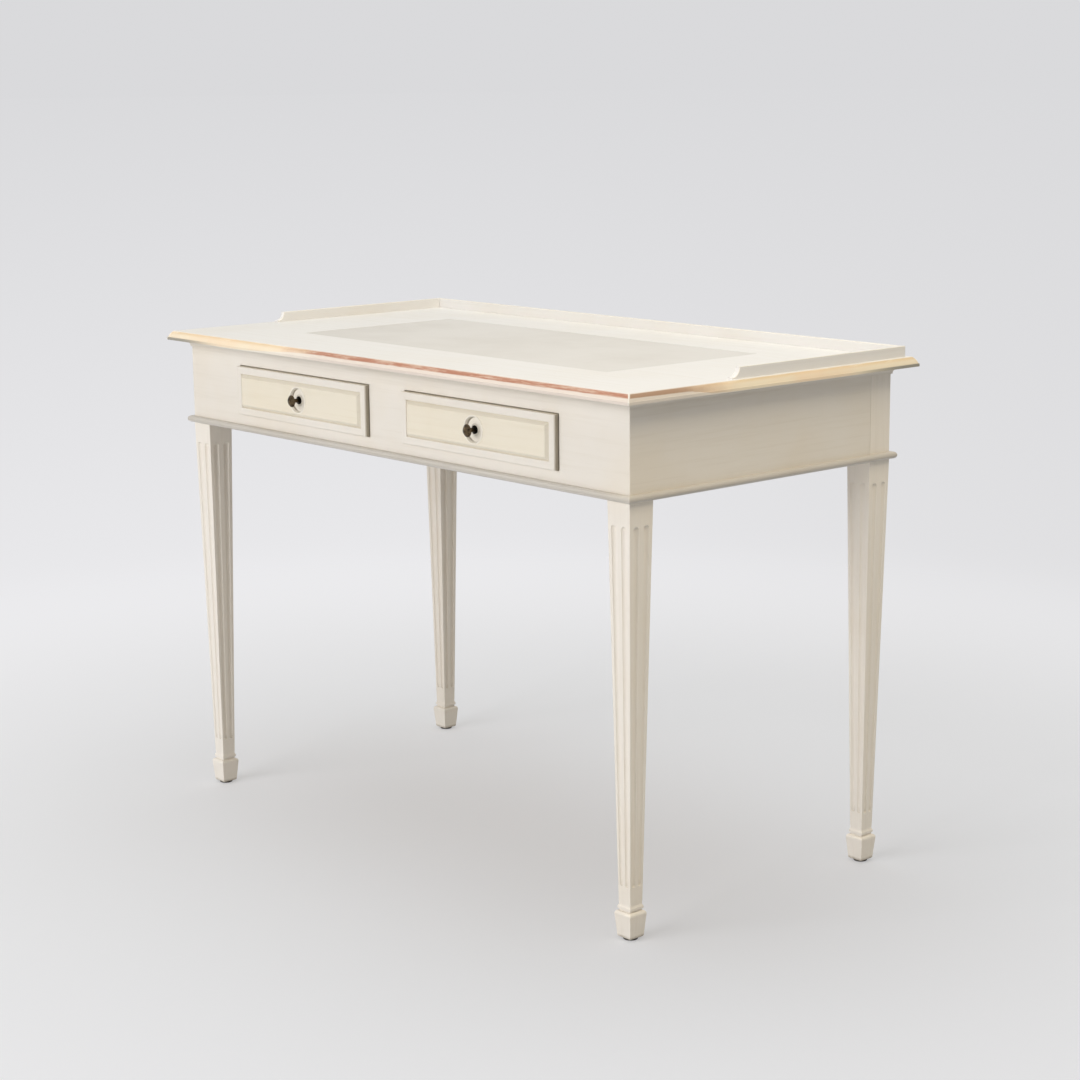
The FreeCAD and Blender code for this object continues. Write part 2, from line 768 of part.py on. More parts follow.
face_y = f"({front_y} - drawer_proud)"
rear_face_y = f"({face_y} + drawer_front_thickness)"
box_low = f"({opening_low} + runner_clearance)"
front_low = f"({opening_low} + drawer_gap)"
front_high = f"({front_low} + drawer_front_height)"
knob_z = f"({front_low} + drawer_front_height / 2)"
panel_low = f"({box_low} + bottom_rise)"
panel_high = f"({panel_low} + bottom_thickness)"
field_y = f"({face_y} - field_height)"
rosette_mouth = "(rosette_radius - rosette_rim_width)"
rosette_seat = "(rosette_depth + rosette_thickness)"
side_start = f"({rear_face_y} - rebate_depth)"

ovolo_curve = f"{ovolo_curve_share} * sqrt(frame_round ^ 2 + (frame_thickness - frame_step) ^ 2)"
frame_outline = [
    ("0", "0"),
    ("frame_width", "0"),
    ("frame_width", "frame_step", ovolo_curve, "left"),
    ("frame_width - frame_round", "frame_thickness"),
    ("frame_step", "frame_thickness"),
    ("0", "frame_thickness - frame_step"),
]


def drawer_front(side, centre):
    """The front board: a raised field, a seat for the plate, rebates for the sides and a groove for the bottom."""
    low_x = f"{centre} - {box_half}"
    high_x = f"{centre} + {box_half}"
    board = block(f"{side}_front_board", (low_x, face_y, front_low), (high_x, rear_face_y, front_high))
    field = doc.addObject("Part::Wedge", f"{side}_field")
    inset = "(frame_width + field_gap)"
    field_sizes = {
        "Ymin": field_y,
        "Ymax": face_y,
        "X2min": f"{low_x} + {inset}",
        "X2max": f"{high_x} - {inset}",
        "Z2min": f"{front_low} + {inset}",
        "Z2max": f"{front_high} - {inset}",
        "Xmin": f"{low_x} + {inset} + field_bevel",
        "Xmax": f"{high_x} - {inset} - field_bevel",
        "Zmin": f"{front_low} + {inset} + field_bevel",
        "Zmax": f"{front_high} - {inset} - field_bevel",
    }
    for edge, text in field_sizes.items():
        field.setExpression(edge, formula(text))
    past_rear = f"{rear_face_y} + overrun"
    below = f"{front_low} - overrun"
    above = f"{front_high} + overrun"
    side_reach = "(drawer_side_thickness + joint_clearance)"
    waste = [
        block(
            f"{side}_rebate_left",
            (f"{low_x} - overrun", f"{side_start} - joint_clearance", below),
            (f"{low_x} + {side_reach}", past_rear, above),
        ),
        block(
            f"{side}_rebate_right",
            (f"{high_x} - {side_reach}", f"{side_start} - joint_clearance", below),
            (f"{high_x} + overrun", past_rear, above),
        ),
        block(
            f"{side}_front_groove",
            (f"{low_x} - overrun", f"{rear_face_y} - groove_depth", panel_low),
            (f"{high_x} + overrun", past_rear, f"{panel_high} + joint_clearance"),
        ),
        rod(f"{side}_bolt_hole", (centre, past_rear, knob_z), "bolt_radius + bolt_clearance",
            "drawer_front_thickness + field_height + 2 * overrun", "-y"),
        rod(f"{side}_plate_seat", (centre, f"{field_y} + {rosette_seat} + rosette_clearance", knob_z),
            f"{rosette_mouth} + rosette_clearance", f"{rosette_seat} + rosette_clearance + overrun", "-y"),
    ]
    return cut(f"{side}_front", fuse(f"{side}_front_blank", [board, field]), waste)


def drawer_frame(side, centre):
    """The moulding planted round the drawer front, four mitred strips."""
    runs = [
        (0, drawer_front_width, centre, front_low),
        (270, "drawer_front_height", f"{centre} + {box_half}", knob_z),
        (180, drawer_front_width, centre, front_high),
        (90, "drawer_front_height", f"{centre} - {box_half}", knob_z),
    ]
    strips = []
    for degrees, length, x, z in runs:
        strip = mitred_strip(f"{side}_frame_{degrees}", frame_outline, length, "frame_width")
        stand = FreeCAD.Rotation(FreeCAD.Vector(1, 0, 0), 90)
        strip.Placement.Rotation = FreeCAD.Rotation(FreeCAD.Vector(0, 1, 0), degrees) * stand
        strips.append(put(strip, x, face_y, z))
    return gather(f"{side}_frame", strips)


def drawer_side(side, hand, centre):
    sign = 1 if hand == "right" else -1
    outer = f"{centre} + {sign} * {box_half}"
    inner = f"{outer} - {sign} * drawer_side_thickness"
    groove_floor = f"{inner} + {sign} * groove_depth"
    groove_mouth = f"{inner} - {sign} * overrun"
    low_x, high_x = ordered(inner, outer, sign)
    board = block(
        f"{side}_{hand}_side_board",
        (low_x, side_start, box_low),
        (high_x, drawer_rear, f"{box_low} + drawer_side_height"),
    )
    low_x, high_x = ordered(groove_mouth, groove_floor, sign)
    groove = block(
        f"{side}_{hand}_side_groove",
        (low_x, f"{side_start} - overrun", panel_low),
        (high_x, f"{drawer_rear} + overrun", f"{panel_high} + joint_clearance"),
    )
    return cut(f"{side}_{hand}_side", board, [groove])


def knob(side):
    """A turned knob: flange, neck and a domed head, bored for its bolt."""
    bore = "bolt_radius + bolt_clearance"
    brim = f"{knob_brim_share} * knob_length"
    neck = f"{knob_neck_share} * knob_length"
    flare = f"{knob_flare_share} * sqrt((knob_radius - knob_neck_radius) ^ 2 + ({brim} - {neck}) ^ 2)"
    dome = f"{knob_dome_share} * sqrt(knob_radius ^ 2 + (knob_length - {brim}) ^ 2)"
    return turned(f"{side}_knob_body", [
        (bore, "0"),
        ("knob_flange_radius", "0"),
        ("knob_flange_radius", "-knob_flange"),
        ("knob_neck_radius", "-2 * knob_flange"),
        ("knob_neck_radius", f"-{neck}", flare, "left"),
        ("knob_radius", f"-{brim}", dome, "right"),
        ("0", "-knob_length"),
        ("0", "-knob_bore_depth"),
        (bore, "-knob_bore_depth"),
    ])


def rosette(side):
    """A round dished plate let into the field, with a flat rim and a boss for the knob."""
    bore = "bolt_radius + bolt_clearance"
    return turned(f"{side}_rosette_body", [
        (bore, rosette_seat),
        (rosette_mouth, rosette_seat),
        (rosette_mouth, "0"),
        ("rosette_radius", "0"),
        ("rosette_radius", "-rosette_lip / 2"),
        ("rosette_radius - rosette_lip / 2", "-rosette_lip"),
        (rosette_mouth, "-rosette_lip"),
        (f"{rosette_mouth} - rosette_wall", "rosette_depth"),
        ("rosette_boss_radius + rosette_boss_slope", "rosette_depth"),
        ("rosette_boss_radius", "rosette_depth - rosette_boss"),
        (bore, "rosette_depth - rosette_boss"),
    ])


for side, x_sign in (("left", -1), ("right", 1)):
    centre = f"{x_sign} * {drawer_pitch} / 2"
    inside = f"({box_half} - drawer_side_thickness)"
    keep(f"{side}_drawer_front", drawer_front(side, centre))
    keep(f"{side}_drawer_frame", drawer_frame(side, centre))
    keep(f"{side}_drawer_left_side", drawer_side(side, "left", centre))
    keep(f"{side}_drawer_right_side", drawer_side(side, "right", centre))
    keep(f"{side}_drawer_back", block(
        f"{side}_back",
        (f"{centre} - {inside}", f"{drawer_rear} - drawer_side_thickness", panel_high),
        (f"{centre} + {inside}", drawer_rear, f"{box_low} + drawer_side_height - drawer_back_drop"),
    ))
    panel_half = f"({inside} + groove_depth - joint_clearance)"
    keep(f"{side}_drawer_bottom", block(
        f"{side}_bottom",
        (f"{centre} - {panel_half}", f"{rear_face_y} - groove_depth + joint_clearance", panel_low),
        (f"{centre} + {panel_half}", drawer_rear, panel_high),
    ))
    keep(f"{side}_rosette", put(rosette(side), centre, field_y, knob_z))
    keep(f"{side}_knob", put(knob(side), centre, f"{field_y} + rosette_depth - rosette_boss", knob_z))
    knob_seat = "drawer_front_thickness + field_height - rosette_depth + rosette_boss"
    bolt_length = f"{knob_seat} + knob_bore_depth - bolt_clearance"
    bolt_shank = rod(f"{side}_bolt_shank", (centre, rear_face_y, knob_z), "bolt_radius", bolt_length, "-y")
    bolt_head_place = (centre, f"{rear_face_y} + bolt_head", knob_z)
    bolt_head = rod(f"{side}_bolt_head", bolt_head_place, "bolt_head_radius", "bolt_head", "-y")
    keep(f"{side}_knob_bolt", fuse(f"{side}_bolt", [bolt_shank, bolt_head]))

doc.recompute()

for piece in doc.Objects:
    if "Invalid" in piece.State or "Error" in piece.State:
        raise RuntimeError(f"{piece.Name} failed: {piece.State}")
for node, piece in nodes.items():
    if piece.Shape.isNull() or not piece.Shape.isValid() or not piece.Shape.Solids:
        raise RuntimeError(f"{node} has no sound solid")

os.makedirs("parts", exist_ok=True)
for node, piece in nodes.items():
    piece.Shape.exportStep(f"parts/{node}.step")
print(f"{len(nodes)} nodes written")
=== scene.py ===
import math

import bmesh
import bpy
from mathutils import Matrix, Vector


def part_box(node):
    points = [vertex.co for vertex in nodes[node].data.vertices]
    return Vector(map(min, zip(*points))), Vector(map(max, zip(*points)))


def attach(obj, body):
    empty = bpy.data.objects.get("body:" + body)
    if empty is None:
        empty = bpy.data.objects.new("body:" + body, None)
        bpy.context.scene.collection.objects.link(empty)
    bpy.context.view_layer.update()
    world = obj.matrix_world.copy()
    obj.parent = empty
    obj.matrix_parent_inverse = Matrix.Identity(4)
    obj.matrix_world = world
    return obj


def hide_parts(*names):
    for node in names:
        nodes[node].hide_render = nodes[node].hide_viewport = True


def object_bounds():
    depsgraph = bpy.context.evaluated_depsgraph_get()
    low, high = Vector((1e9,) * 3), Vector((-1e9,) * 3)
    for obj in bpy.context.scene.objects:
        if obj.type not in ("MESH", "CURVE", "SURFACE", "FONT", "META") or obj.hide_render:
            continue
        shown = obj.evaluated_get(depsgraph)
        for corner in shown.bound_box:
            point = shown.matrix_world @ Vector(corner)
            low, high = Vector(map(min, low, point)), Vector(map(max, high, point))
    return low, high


# Painted writing desk: the finish of every piece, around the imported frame.
# Metres, X to the right, Y to the back, Z up.

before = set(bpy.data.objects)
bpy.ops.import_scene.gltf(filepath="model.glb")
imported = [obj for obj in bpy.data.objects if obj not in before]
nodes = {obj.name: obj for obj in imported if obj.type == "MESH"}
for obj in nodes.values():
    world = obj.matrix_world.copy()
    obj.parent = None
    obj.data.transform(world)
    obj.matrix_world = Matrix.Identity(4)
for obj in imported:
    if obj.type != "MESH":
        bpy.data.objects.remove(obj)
cadLow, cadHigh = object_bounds()
mm = 0.001
sides = ("left", "right")
print("frame loaded:", len(nodes), "nodes")


def boxOf(node):
    low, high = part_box(node)
    return low, high, (low + high) / 2


# Shader helpers

def addNode(tree, kind, inputs=None, **settings):
    made = tree.nodes.new("ShaderNode" + kind)
    for name, value in settings.items():
        setattr(made, name, value)
    for name, value in (inputs or {}).items():
        if isinstance(value, bpy.types.NodeSocket):
            tree.links.new(value, made.inputs[name])
        else:
            made.inputs[name].default_value = value
    return made


def objectPlace(tree):
    return addNode(tree, "TexCoord").outputs["Object"]


def newFinish(name):
    finish = bpy.data.materials.new(name)
    finish.use_nodes = True
    return finish, objectPlace(finish.node_tree)


def axesOf(place):
    return addNode(place.id_data, "SeparateXYZ", {"Vector": place}).outputs


def noise(place, scale, detail, roughness):
    values = {"Vector": place, "Scale": scale, "Detail": detail, "Roughness": roughness}
    return addNode(place.id_data, "TexNoise", values).outputs["Fac"]


def streaky(place, axis, scales, values):
    # noise with one scale along an axis and another across it
    along, across = scales
    scale = [along if letter == axis else across for letter in "xyz"]
    stretched = addNode(place.id_data, "Mapping", {"Vector": place, "Scale": scale})
    return noise(stretched.outputs["Vector"], *values)


def ramp(value, low, high, toLow=0.0, toHigh=1.0):
    values = {"Value": value, "From Min": low, "From Max": high, "To Min": toLow, "To Max": toHigh}
    return addNode(value.id_data, "MapRange", values, interpolation_type="SMOOTHSTEP").outputs["Result"]


def fall(value, low, high, start=1.0):
    return ramp(value, low, high, start, 0.0)


def treeOf(*values):
    # the tree of the sockets among the values
    return next(value.id_data for value in values if isinstance(value, bpy.types.NodeSocket))


def sums(operation, first, second=0.0):
    tree = treeOf(first, second)
    return addNode(tree, "Math", {0: first, 1: second}, operation=operation).outputs[0]


def times(first, *others):
    for other in others:
        first = sums("MULTIPLY", first, other)
    return first


def solid(tone):
    return (*tone, 1.0) if isinstance(tone, tuple) else tone


def blendTones(share, first, second, way="MIX"):
    tree = treeOf(share, first, second)
    values = {0: share, 6: solid(first), 7: solid(second)}
    return addNode(tree, "Mix", values, data_type="RGBA", blend_type=way).outputs[2]


def coat(tone, rough, height, strength=0.0, depth=0.0):
    tree = tone.id_data
    shader = tree.nodes["Principled BSDF"]
    tree.links.new(tone, shader.inputs["Base Color"])
    tree.links.new(rough, shader.inputs["Roughness"])
    if strength:
        values = {"Height": height, "Strength": strength, "Distance": depth}
        tree.links.new(addNode(tree, "Bump", values).outputs["Normal"], shader.inputs["Normal"])
    return shader


# Finishes

# a noise is its scale, detail and roughness; a range is from and to, then what they give
creamLooks = {
    "tone": (0.800, 0.752, 0.680), "streak": (0.700, 0.640, 0.548), "aged": (0.775, 0.695, 0.575),
    # the second tone on the next line darkens the height bands: painted shade
    "bareWood": (0.520, 0.410, 0.280), "grime": (0.330, 0.280, 0.200),
    # scales along and across the brush
    "streakScales": (5.0, 160.0), "poreScales": (40.0, 1500.0),
    "streaks": (1.0, 5.0, 0.62), "streakRange": (0.46, 0.78, 0.0, 0.36),
    "pores": (1.0, 2.0, 0.55), "poreRange": (0.60, 0.74), "poreShare": 0.22, "poreDepth": 0.5,
    "clouds": (6.0, 3.0, 0.55), "cloudRange": (0.40, 0.72, 0.0, 0.45),
    "patches": (60.0, 6.0, 0.7), "patchRange": (0.60, 0.72), "wear": 0.0,
    "roughRange": (0.3, 0.7, 0.36, 0.50), "relief": (0.22, 0.25 * mm),
    # grows from the first height to the second, up to a share: painted shade under the top's overhang and
    # along the foot of the bead, and darker towards the bottom of the feet
    "grimeAndShadeBands": ((700 * mm, 728.2 * mm, 0.34), (602.5 * mm, 596.5 * mm, 0.40), (9 * mm, 2.5 * mm, 0.95)),
    "grimeAndShadeRange": (0.3, 0.7), "grimeAndShadeLeast": 0.6,
}
# paint on the eased arrises: paler as a painted highlight, with patches worn to bare wood
wornHighlitEdgeLooks = dict(creamLooks, tone=(0.850, 0.815, 0.755), aged=(0.810, 0.750, 0.650), wear=0.30)
# paler and cooler than the frieze paint: partly its own paint, partly painted light for the white light
# falling on the top from above
paleLitTopLooks = dict(creamLooks, tone=(0.822, 0.804, 0.782), streak=(0.752, 0.716, 0.668),
                aged=(0.792, 0.752, 0.690), grimeAndShadeBands=())
# the bead is darker than the boards, with painted shade growing towards its underside
beadLooks = dict(creamLooks, tone=(0.590, 0.555, 0.505), streak=(0.500, 0.460, 0.405),
                 aged=(0.550, 0.500, 0.430), grimeAndShadeBands=((606 * mm, 600 * mm, 0.25),))
fieldLooks = dict(creamLooks, tone=(0.810, 0.745, 0.615), streak=(0.730, 0.650, 0.500),
                  aged=(0.790, 0.690, 0.515))
fieldWornLooks = dict(fieldLooks, wear=0.4)
# painted shade: the bevels round the raised field are painted darker, down towards the frame, with some wear
shadedBevelLooks = dict(creamLooks, tone=(0.790, 0.732, 0.615), streak=(0.665, 0.595, 0.472),
                  aged=(0.745, 0.665, 0.522), wear=0.2)
# painted light: the legs are painted paler than the frieze, standing in for the light on them
lightenedLegLooks = dict(creamLooks, tone=(0.850, 0.800, 0.728), streak=(0.750, 0.690, 0.600),
                aged=(0.820, 0.742, 0.625))
# painted shade at the lower ends of the flutes, where they face up into the light
shadedFluteLooks = dict(lightenedLegLooks, grimeAndShadeBands=((86 * mm, 72 * mm, 0.28),))
# dark ends of the drawer fronts: end grain, and painted shade for their shaded edge
shadedEndLooks = dict(creamLooks, tone=(0.440, 0.390, 0.310), streak=(0.290, 0.245, 0.180),
                aged=(0.360, 0.305, 0.220))


def creamPaint(name, axis, looks):
    finish, place = newFinish(name)
    streaks = streaky(place, axis, looks["streakScales"], looks["streaks"])
    pores = ramp(streaky(place, axis, looks["poreScales"], looks["pores"]), *looks["poreRange"])
    clouds = ramp(noise(place, *looks["clouds"]), *looks["cloudRange"])
    tone = blendTones(clouds, looks["tone"], looks["aged"])
    tone = blendTones(ramp(streaks, *looks["streakRange"]), tone, looks["streak"])
    tone = blendTones(times(pores, looks["poreShare"]), tone, looks["streak"])
    height = axesOf(place)["Z"]
    # painted shade in bands of height, made uneven by the streaks
    for start, end, share in looks["grimeAndShadeBands"]:
        below = sums("LESS_THAN", height, max(start, end))
        above = sums("GREATER_THAN", height, min(start, end))
        uneven = ramp(streaks, *looks["grimeAndShadeRange"], looks["grimeAndShadeLeast"] * share, share)
        dirt = times(ramp(height, start, end), below, above, uneven)
        tone = blendTones(dirt, tone, looks["grime"])
    if looks["wear"]:
        patches = noise(place, *looks["patches"])
        worn = ramp(patches, *looks["patchRange"], 0.0, looks["wear"])
        tone = blendTones(worn, tone, looks["bareWood"])
    relief = sums("SUBTRACT", streaks, times(pores, looks["poreDepth"]))
    coat(tone, ramp(streaks, *looks["roughRange"]), relief, *looks["relief"])
    return finish


finishes = {}
for kind, looks, grains in (("cream", creamLooks, "xyz"), ("top", paleLitTopLooks, "xy"),
                            ("bead", beadLooks, "xy"), ("worn", wornHighlitEdgeLooks, "xy")):
    for axis in grains:
        finishes[f"{kind}_{axis}"] = creamPaint(f"{kind}PaintAlong{axis.upper()}", axis, looks)
finishes["field"] = creamPaint("yellowedFieldPaint", "x", fieldLooks)
finishes["fieldWorn"] = creamPaint("yellowedFieldPaintWorn", "x", fieldWornLooks)
finishes["fieldBevel"] = creamPaint("shadedWornFieldBevelPaint", "x", shadedBevelLooks)
finishes["leg"] = creamPaint("legPaint", "z", lightenedLegLooks)
finishes["flute"] = creamPaint("shadedFluteEndPaint", "z", shadedFluteLooks)
finishes["frontEnd"] = creamPaint("shadedDarkEndGrain", "z", shadedEndLooks)

giltLooks = {
    "gold": (0.715, 0.530, 0.308), "paleGold": (0.842, 0.736, 0.562), "peach": (0.840, 0.600, 0.400),
    "bole": (0.430, 0.190, 0.115), "paleBole": (0.610, 0.430, 0.330), "brown": (0.400, 0.250, 0.160),
    "cream": (0.810, 0.765, 0.695), "wash": 0.24,
    "wander": (14.0, 5.0, 0.55), "wanderMean": 0.5,
    "rub": (3.0, 6.0, 0.65), "rubScales": (120.0, 9.0), "rubRange": (0.42, 0.68),
    "drift": (7.0, 3.0, 0.55), "driftRange": (0.42, 0.66, 0.0, 0.55),
    # where the gold turns to red along the front, and to brown along the right side
    "frontTurn": (-0.245, -0.090), "sideTurn": (-0.225, -0.060), "rightSide": (0.0, 0.02), "turnWander": 0.22,
    # the gold runs down over the lip, the bared ground only along the upper half
    "bandFoot": 728.4 * mm, "lineFoot": 736.0 * mm, "bandTop": 741.6 * mm, "lineTurn": (-0.40, -0.10),
    "footWander": 2.5 * mm, "footSoft": (-0.6 * mm, 0.8 * mm), "topSoft": 0.8 * mm,
    # darker grey on the lip towards the far corners
    "dirt": (0.230, 0.225, 0.195), "lipDarkShare": 0.85, "lipDarkReach": (0.030, 0.16),
    "lipDarkTop": 733.2 * mm, "lipDarkSoft": 1.5 * mm,
    # paint worn pale along the mitres
    "mitreBlend": 0.3 * mm, "mitreWear": (1.2 * mm, 2.4 * mm),
    "roughness": (0.34, 0.52), "relief": (0.15, 0.15 * mm),
}


def giltEdge(name):
    looks = giltLooks
    finish, place = newFinish(name)
    x, y, z = axesOf(place)
    wander = sums("SUBTRACT", noise(place, *looks["wander"]), looks["wanderMean"])
    turnWander = times(wander, looks["turnWander"])
    # which side of the mitre a point is on
    fromFront = sums("ADD", y, cadHigh.y)
    fromSide = sums("SUBTRACT", cadHigh.x, sums("ABSOLUTE", x))
    pastMitre = sums("SUBTRACT", fromSide, fromFront)
    onFront = ramp(pastMitre, 0.0, looks["mitreBlend"])
    onSide = sums("SUBTRACT", 1.0, onFront)
    red = times(ramp(sums("ADD", x, turnWander), *looks["frontTurn"]), onFront)
    brown = times(fall(sums("ADD", y, turnWander), *looks["sideTurn"]), onSide,
                  ramp(x, *looks["rightSide"]))
    rub = ramp(streaky(place, "z", looks["rubScales"], looks["rub"]), *looks["rubRange"])
    pale = sums("MAXIMUM", rub, fall(z, looks["lineFoot"], looks["bandTop"]))
    gold = blendTones(pale, looks["gold"], looks["paleGold"])
    drift = ramp(noise(place, *looks["drift"]), *looks["driftRange"])
    gold = blendTones(drift, gold, looks["peach"])
    tone = blendTones(red, gold, blendTones(rub, looks["bole"], looks["paleBole"]))
    tone = blendTones(brown, tone, looks["brown"])
    # a band with a soft foot and top, and a thin wash of it outside
    lineShare = sums("MAXIMUM", times(ramp(x, *looks["lineTurn"]), onFront), brown)
    foot = ramp(lineShare, 0.0, 1.0, looks["bandFoot"], looks["lineFoot"])
    foot = sums("ADD", foot, times(wander, looks["footWander"]))
    onBand = times(ramp(sums("SUBTRACT", z, foot), *looks["footSoft"]),
                   fall(z, looks["bandTop"] - looks["topSoft"], looks["bandTop"]))
    wash = blendTones(looks["wash"], looks["cream"], tone)
    tone = blendTones(onBand, wash, tone)
    frontCorner = fall(sums("ADD", fromFront, fromSide), *looks["lipDarkReach"])
    frontLeft = times(frontCorner, sums("LESS_THAN", x, 0.0))
    fromBack = sums("SUBTRACT", cadHigh.y, y)
    backCorner = fall(sums("ADD", fromSide, fromBack), *looks["lipDarkReach"])
    onLip = fall(z, looks["lipDarkTop"] - looks["lipDarkSoft"], looks["lipDarkTop"], looks["lipDarkShare"])
    dirt = times(sums("MAXIMUM", frontLeft, backCorner), onLip)
    tone = blendTones(dirt, tone, looks["dirt"])
    worn = fall(sums("ABSOLUTE", pastMitre), *looks["mitreWear"])
    tone = blendTones(worn, tone, looks["cream"])
    coat(tone, ramp(rub, 0.0, 1.0, *looks["roughness"]), rub, *looks["relief"])
    return finish


finishes["gilt"] = giltEdge("wornGiltOverRedBole")

leatherLooks = {
    "tone": (0.708, 0.683, 0.652), "dark": (0.625, 0.598, 0.565), "grainScale": 900.0,
    "clouds": (5.0, 5.0, 0.55), "cloudRange": (0.35, 0.75, 0.0, 0.7),
    "scuffs": (1.0, 4.0, 0.55), "scuffScales": (8.0, 30.0), "scuffRange": (0.62, 0.8, 0.0, 0.25),
    "roughRange": (0.3, 0.7, 0.5, 0.66), "relief": (0.25, 0.2 * mm),
}


def deskLeather(name):
    looks = leatherLooks
    finish, place = newFinish(name)
    grain = addNode(place.id_data, "TexVoronoi", {"Vector": place, "Scale": looks["grainScale"]})
    clouds = noise(place, *looks["clouds"])
    scuffs = streaky(place, "y", looks["scuffScales"], looks["scuffs"])
    tone = blendTones(ramp(clouds, *looks["cloudRange"]), looks["tone"], looks["dark"])
    tone = blendTones(ramp(scuffs, *looks["scuffRange"]), tone, looks["dark"])
    coat(tone, ramp(clouds, *looks["roughRange"]), grain.outputs["Distance"], *looks["relief"])
    return finish


finishes["leather"] = deskLeather("greyDeskLeather")

pineLooks = {
    "early": (0.620, 0.450, 0.270), "late": (0.430, 0.270, 0.130), "dirt": (0.360, 0.270, 0.180),
    "rings": (1.0, 3.0, 0.5), "ringScales": (1.6, 46.0), "ringCount": 34.0,
    "ringRange": (-0.2, 1.0, 0.0, 0.7),
    "fibres": (1.0, 3.0, 0.55), "fibreScales": (30.0, 900.0), "fibreRange": (0.5, 0.8, 0.0, 0.35),
    "grime": (9.0, 4.0, 0.55), "grimeAndShadeRange": (0.5, 0.8, 0.0, 0.4),
    "roughRange": (0.3, 0.7, 0.55, 0.72), "relief": (0.2, 0.15 * mm),
}


def barePine(name, axis):
    looks = pineLooks
    finish, place = newFinish(name)
    rings = streaky(place, axis, looks["ringScales"], looks["rings"])
    bands = sums("SINE", times(rings, looks["ringCount"]))
    fibres = streaky(place, axis, looks["fibreScales"], looks["fibres"])
    grime = noise(place, *looks["grime"])
    tone = blendTones(ramp(bands, *looks["ringRange"]), looks["early"], looks["late"])
    tone = blendTones(ramp(fibres, *looks["fibreRange"]), tone, looks["late"])
    tone = blendTones(ramp(grime, *looks["grimeAndShadeRange"]), tone, looks["dirt"])
    coat(tone, ramp(fibres, *looks["roughRange"]), fibres, *looks["relief"])
    return finish


for axis in "xyz":
    finishes["pine_" + axis] = barePine("barePineAlong" + axis.upper(), axis)

brassLooks = {
    "tone": (0.140, 0.100, 0.058), "spotTone": (0.026, 0.019, 0.012), "metallic": 1.0,
    "spots": (260.0, 6.0, 0.65), "spotRange": (0.40, 0.66),
    "roughRange": (0.3, 0.7, 0.26, 0.50), "relief": (0.1, 0.05 * mm),
    "tarnish": (0.008, 0.006, 0.004), "tarnishReach": (12 * mm, 3 * mm),
}
steelLooks = {
    "tone": (0.420, 0.400, 0.370), "spotTone": (0.180, 0.100, 0.050), "metallic": 0.9,
    "spots": (420.0, 5.0, 0.65), "spotRange": (0.55, 0.75),
    "roughRange": (0.3, 0.7, 0.32, 0.6), "relief": (),
}
glideLooks = {
    "tone": (0.045, 0.038, 0.032), "spotTone": (0.150, 0.130, 0.110), "metallic": 0.0,
    "spots": (300.0, 5.0, 0.7), "spotRange": (0.55, 0.8),
    "roughRange": (0.3, 0.7, 0.45, 0.7), "relief": (0.2, 0.1 * mm),
}
plateLooks = {
    # paler than the drawer paint: partly its own paint, partly painted light against the shade of its sunk
    # dish
    "tone": (0.870, 0.815, 0.715), "spotTone": creamLooks["aged"], "metallic": 0.0,
    "spots": (240.0, 5.0, 0.6), "spotRange": (0.4, 0.8, 0.0, 0.35),
    "roughRange": (0.3, 0.7, 0.34, 0.5), "relief": (0.12, 0.1 * mm),
    # painted shade in two creases, most of it on the left, away from the light
    "grime": (0.260, 0.210, 0.150), "creases": (16.8 * mm, 8.0 * mm), "creaseWidth": 1.3 * mm,
    "creaseRange": (0.2, 0.6, 0.45, 0.85), "leftRange": (-9 * mm, 1 * mm, 1.0, 0.22),
}


def spottedFinish(name, looks, stain=None):
    finish, place = newFinish(name)
    spots = noise(place, *looks["spots"])
    tone = blendTones(ramp(spots, *looks["spotRange"]), looks["tone"], looks["spotTone"])
    if stain:
        tone = stain(place, spots, tone)
    shader = coat(tone, ramp(spots, *looks["roughRange"]), spots, *looks["relief"])
    shader.inputs["Metallic"].default_value = looks["metallic"]
    return finish


def knobTarnish(place, spots, tone):
    # black towards the foot of the knob, where no hand rubs it
    outward = sums("SUBTRACT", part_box("right_knob")[1].y, axesOf(place)["Y"])
    return blendTones(ramp(outward, *brassLooks["tarnishReach"]), tone, brassLooks["tarnish"])


def plateCreaseShade(place, spots, tone):
    looks = plateLooks
    axes = axesOf(place)
    middle = boxOf("right_rosette")[2]
    # distance from the middle of the plate, the same for both drawers
    onRight = sums("GREATER_THAN", axes["X"], 0.0)
    across = sums("SUBTRACT", axes["X"], ramp(onRight, 0.0, 1.0, -middle.x, middle.x))
    upward = sums("SUBTRACT", axes["Z"], middle.z)
    radius = sums("ADD", sums("POWER", across, 2.0), sums("POWER", upward, 2.0))
    radius = sums("SQRT", radius)
    # painted shade in the creases, falling off towards the right
    for crease in looks["creases"]:
        off = sums("ABSOLUTE", sums("SUBTRACT", radius, crease))
        share = times(fall(off, 0.0, looks["creaseWidth"]),
                      ramp(spots, *looks["creaseRange"]), ramp(across, *looks["leftRange"]))
        tone = blendTones(share, tone, looks["grime"])
    return tone


finishes["brass"] = spottedFinish("agedBrass", brassLooks, knobTarnish)
finishes["steel"] = spottedFinish("dullSteel", steelLooks)
finishes["glide"] = spottedFinish("darkFootGlide", glideLooks)
finishes["plate"] = spottedFinish("paintedPlate", plateLooks, plateCreaseShade)
print("finishes made:", len(finishes))


# Modelling helpers

meshLimits = {
    "slack": 0.05 * mm, "merge": 0.002 * mm, "cadMerge": 0.005 * mm,
    "flat": math.radians(0.5), "smooth": math.radians(32),
    # how far a normal must lie along an axis
    "mitre": 0.5, "facing": 0.9, "square": 0.95,
}


def pickNothing():
    if bpy.context.object and bpy.context.object.mode != "OBJECT":
        bpy.ops.object.mode_set(mode="OBJECT")
    bpy.ops.object.select_all(action="DESELECT")


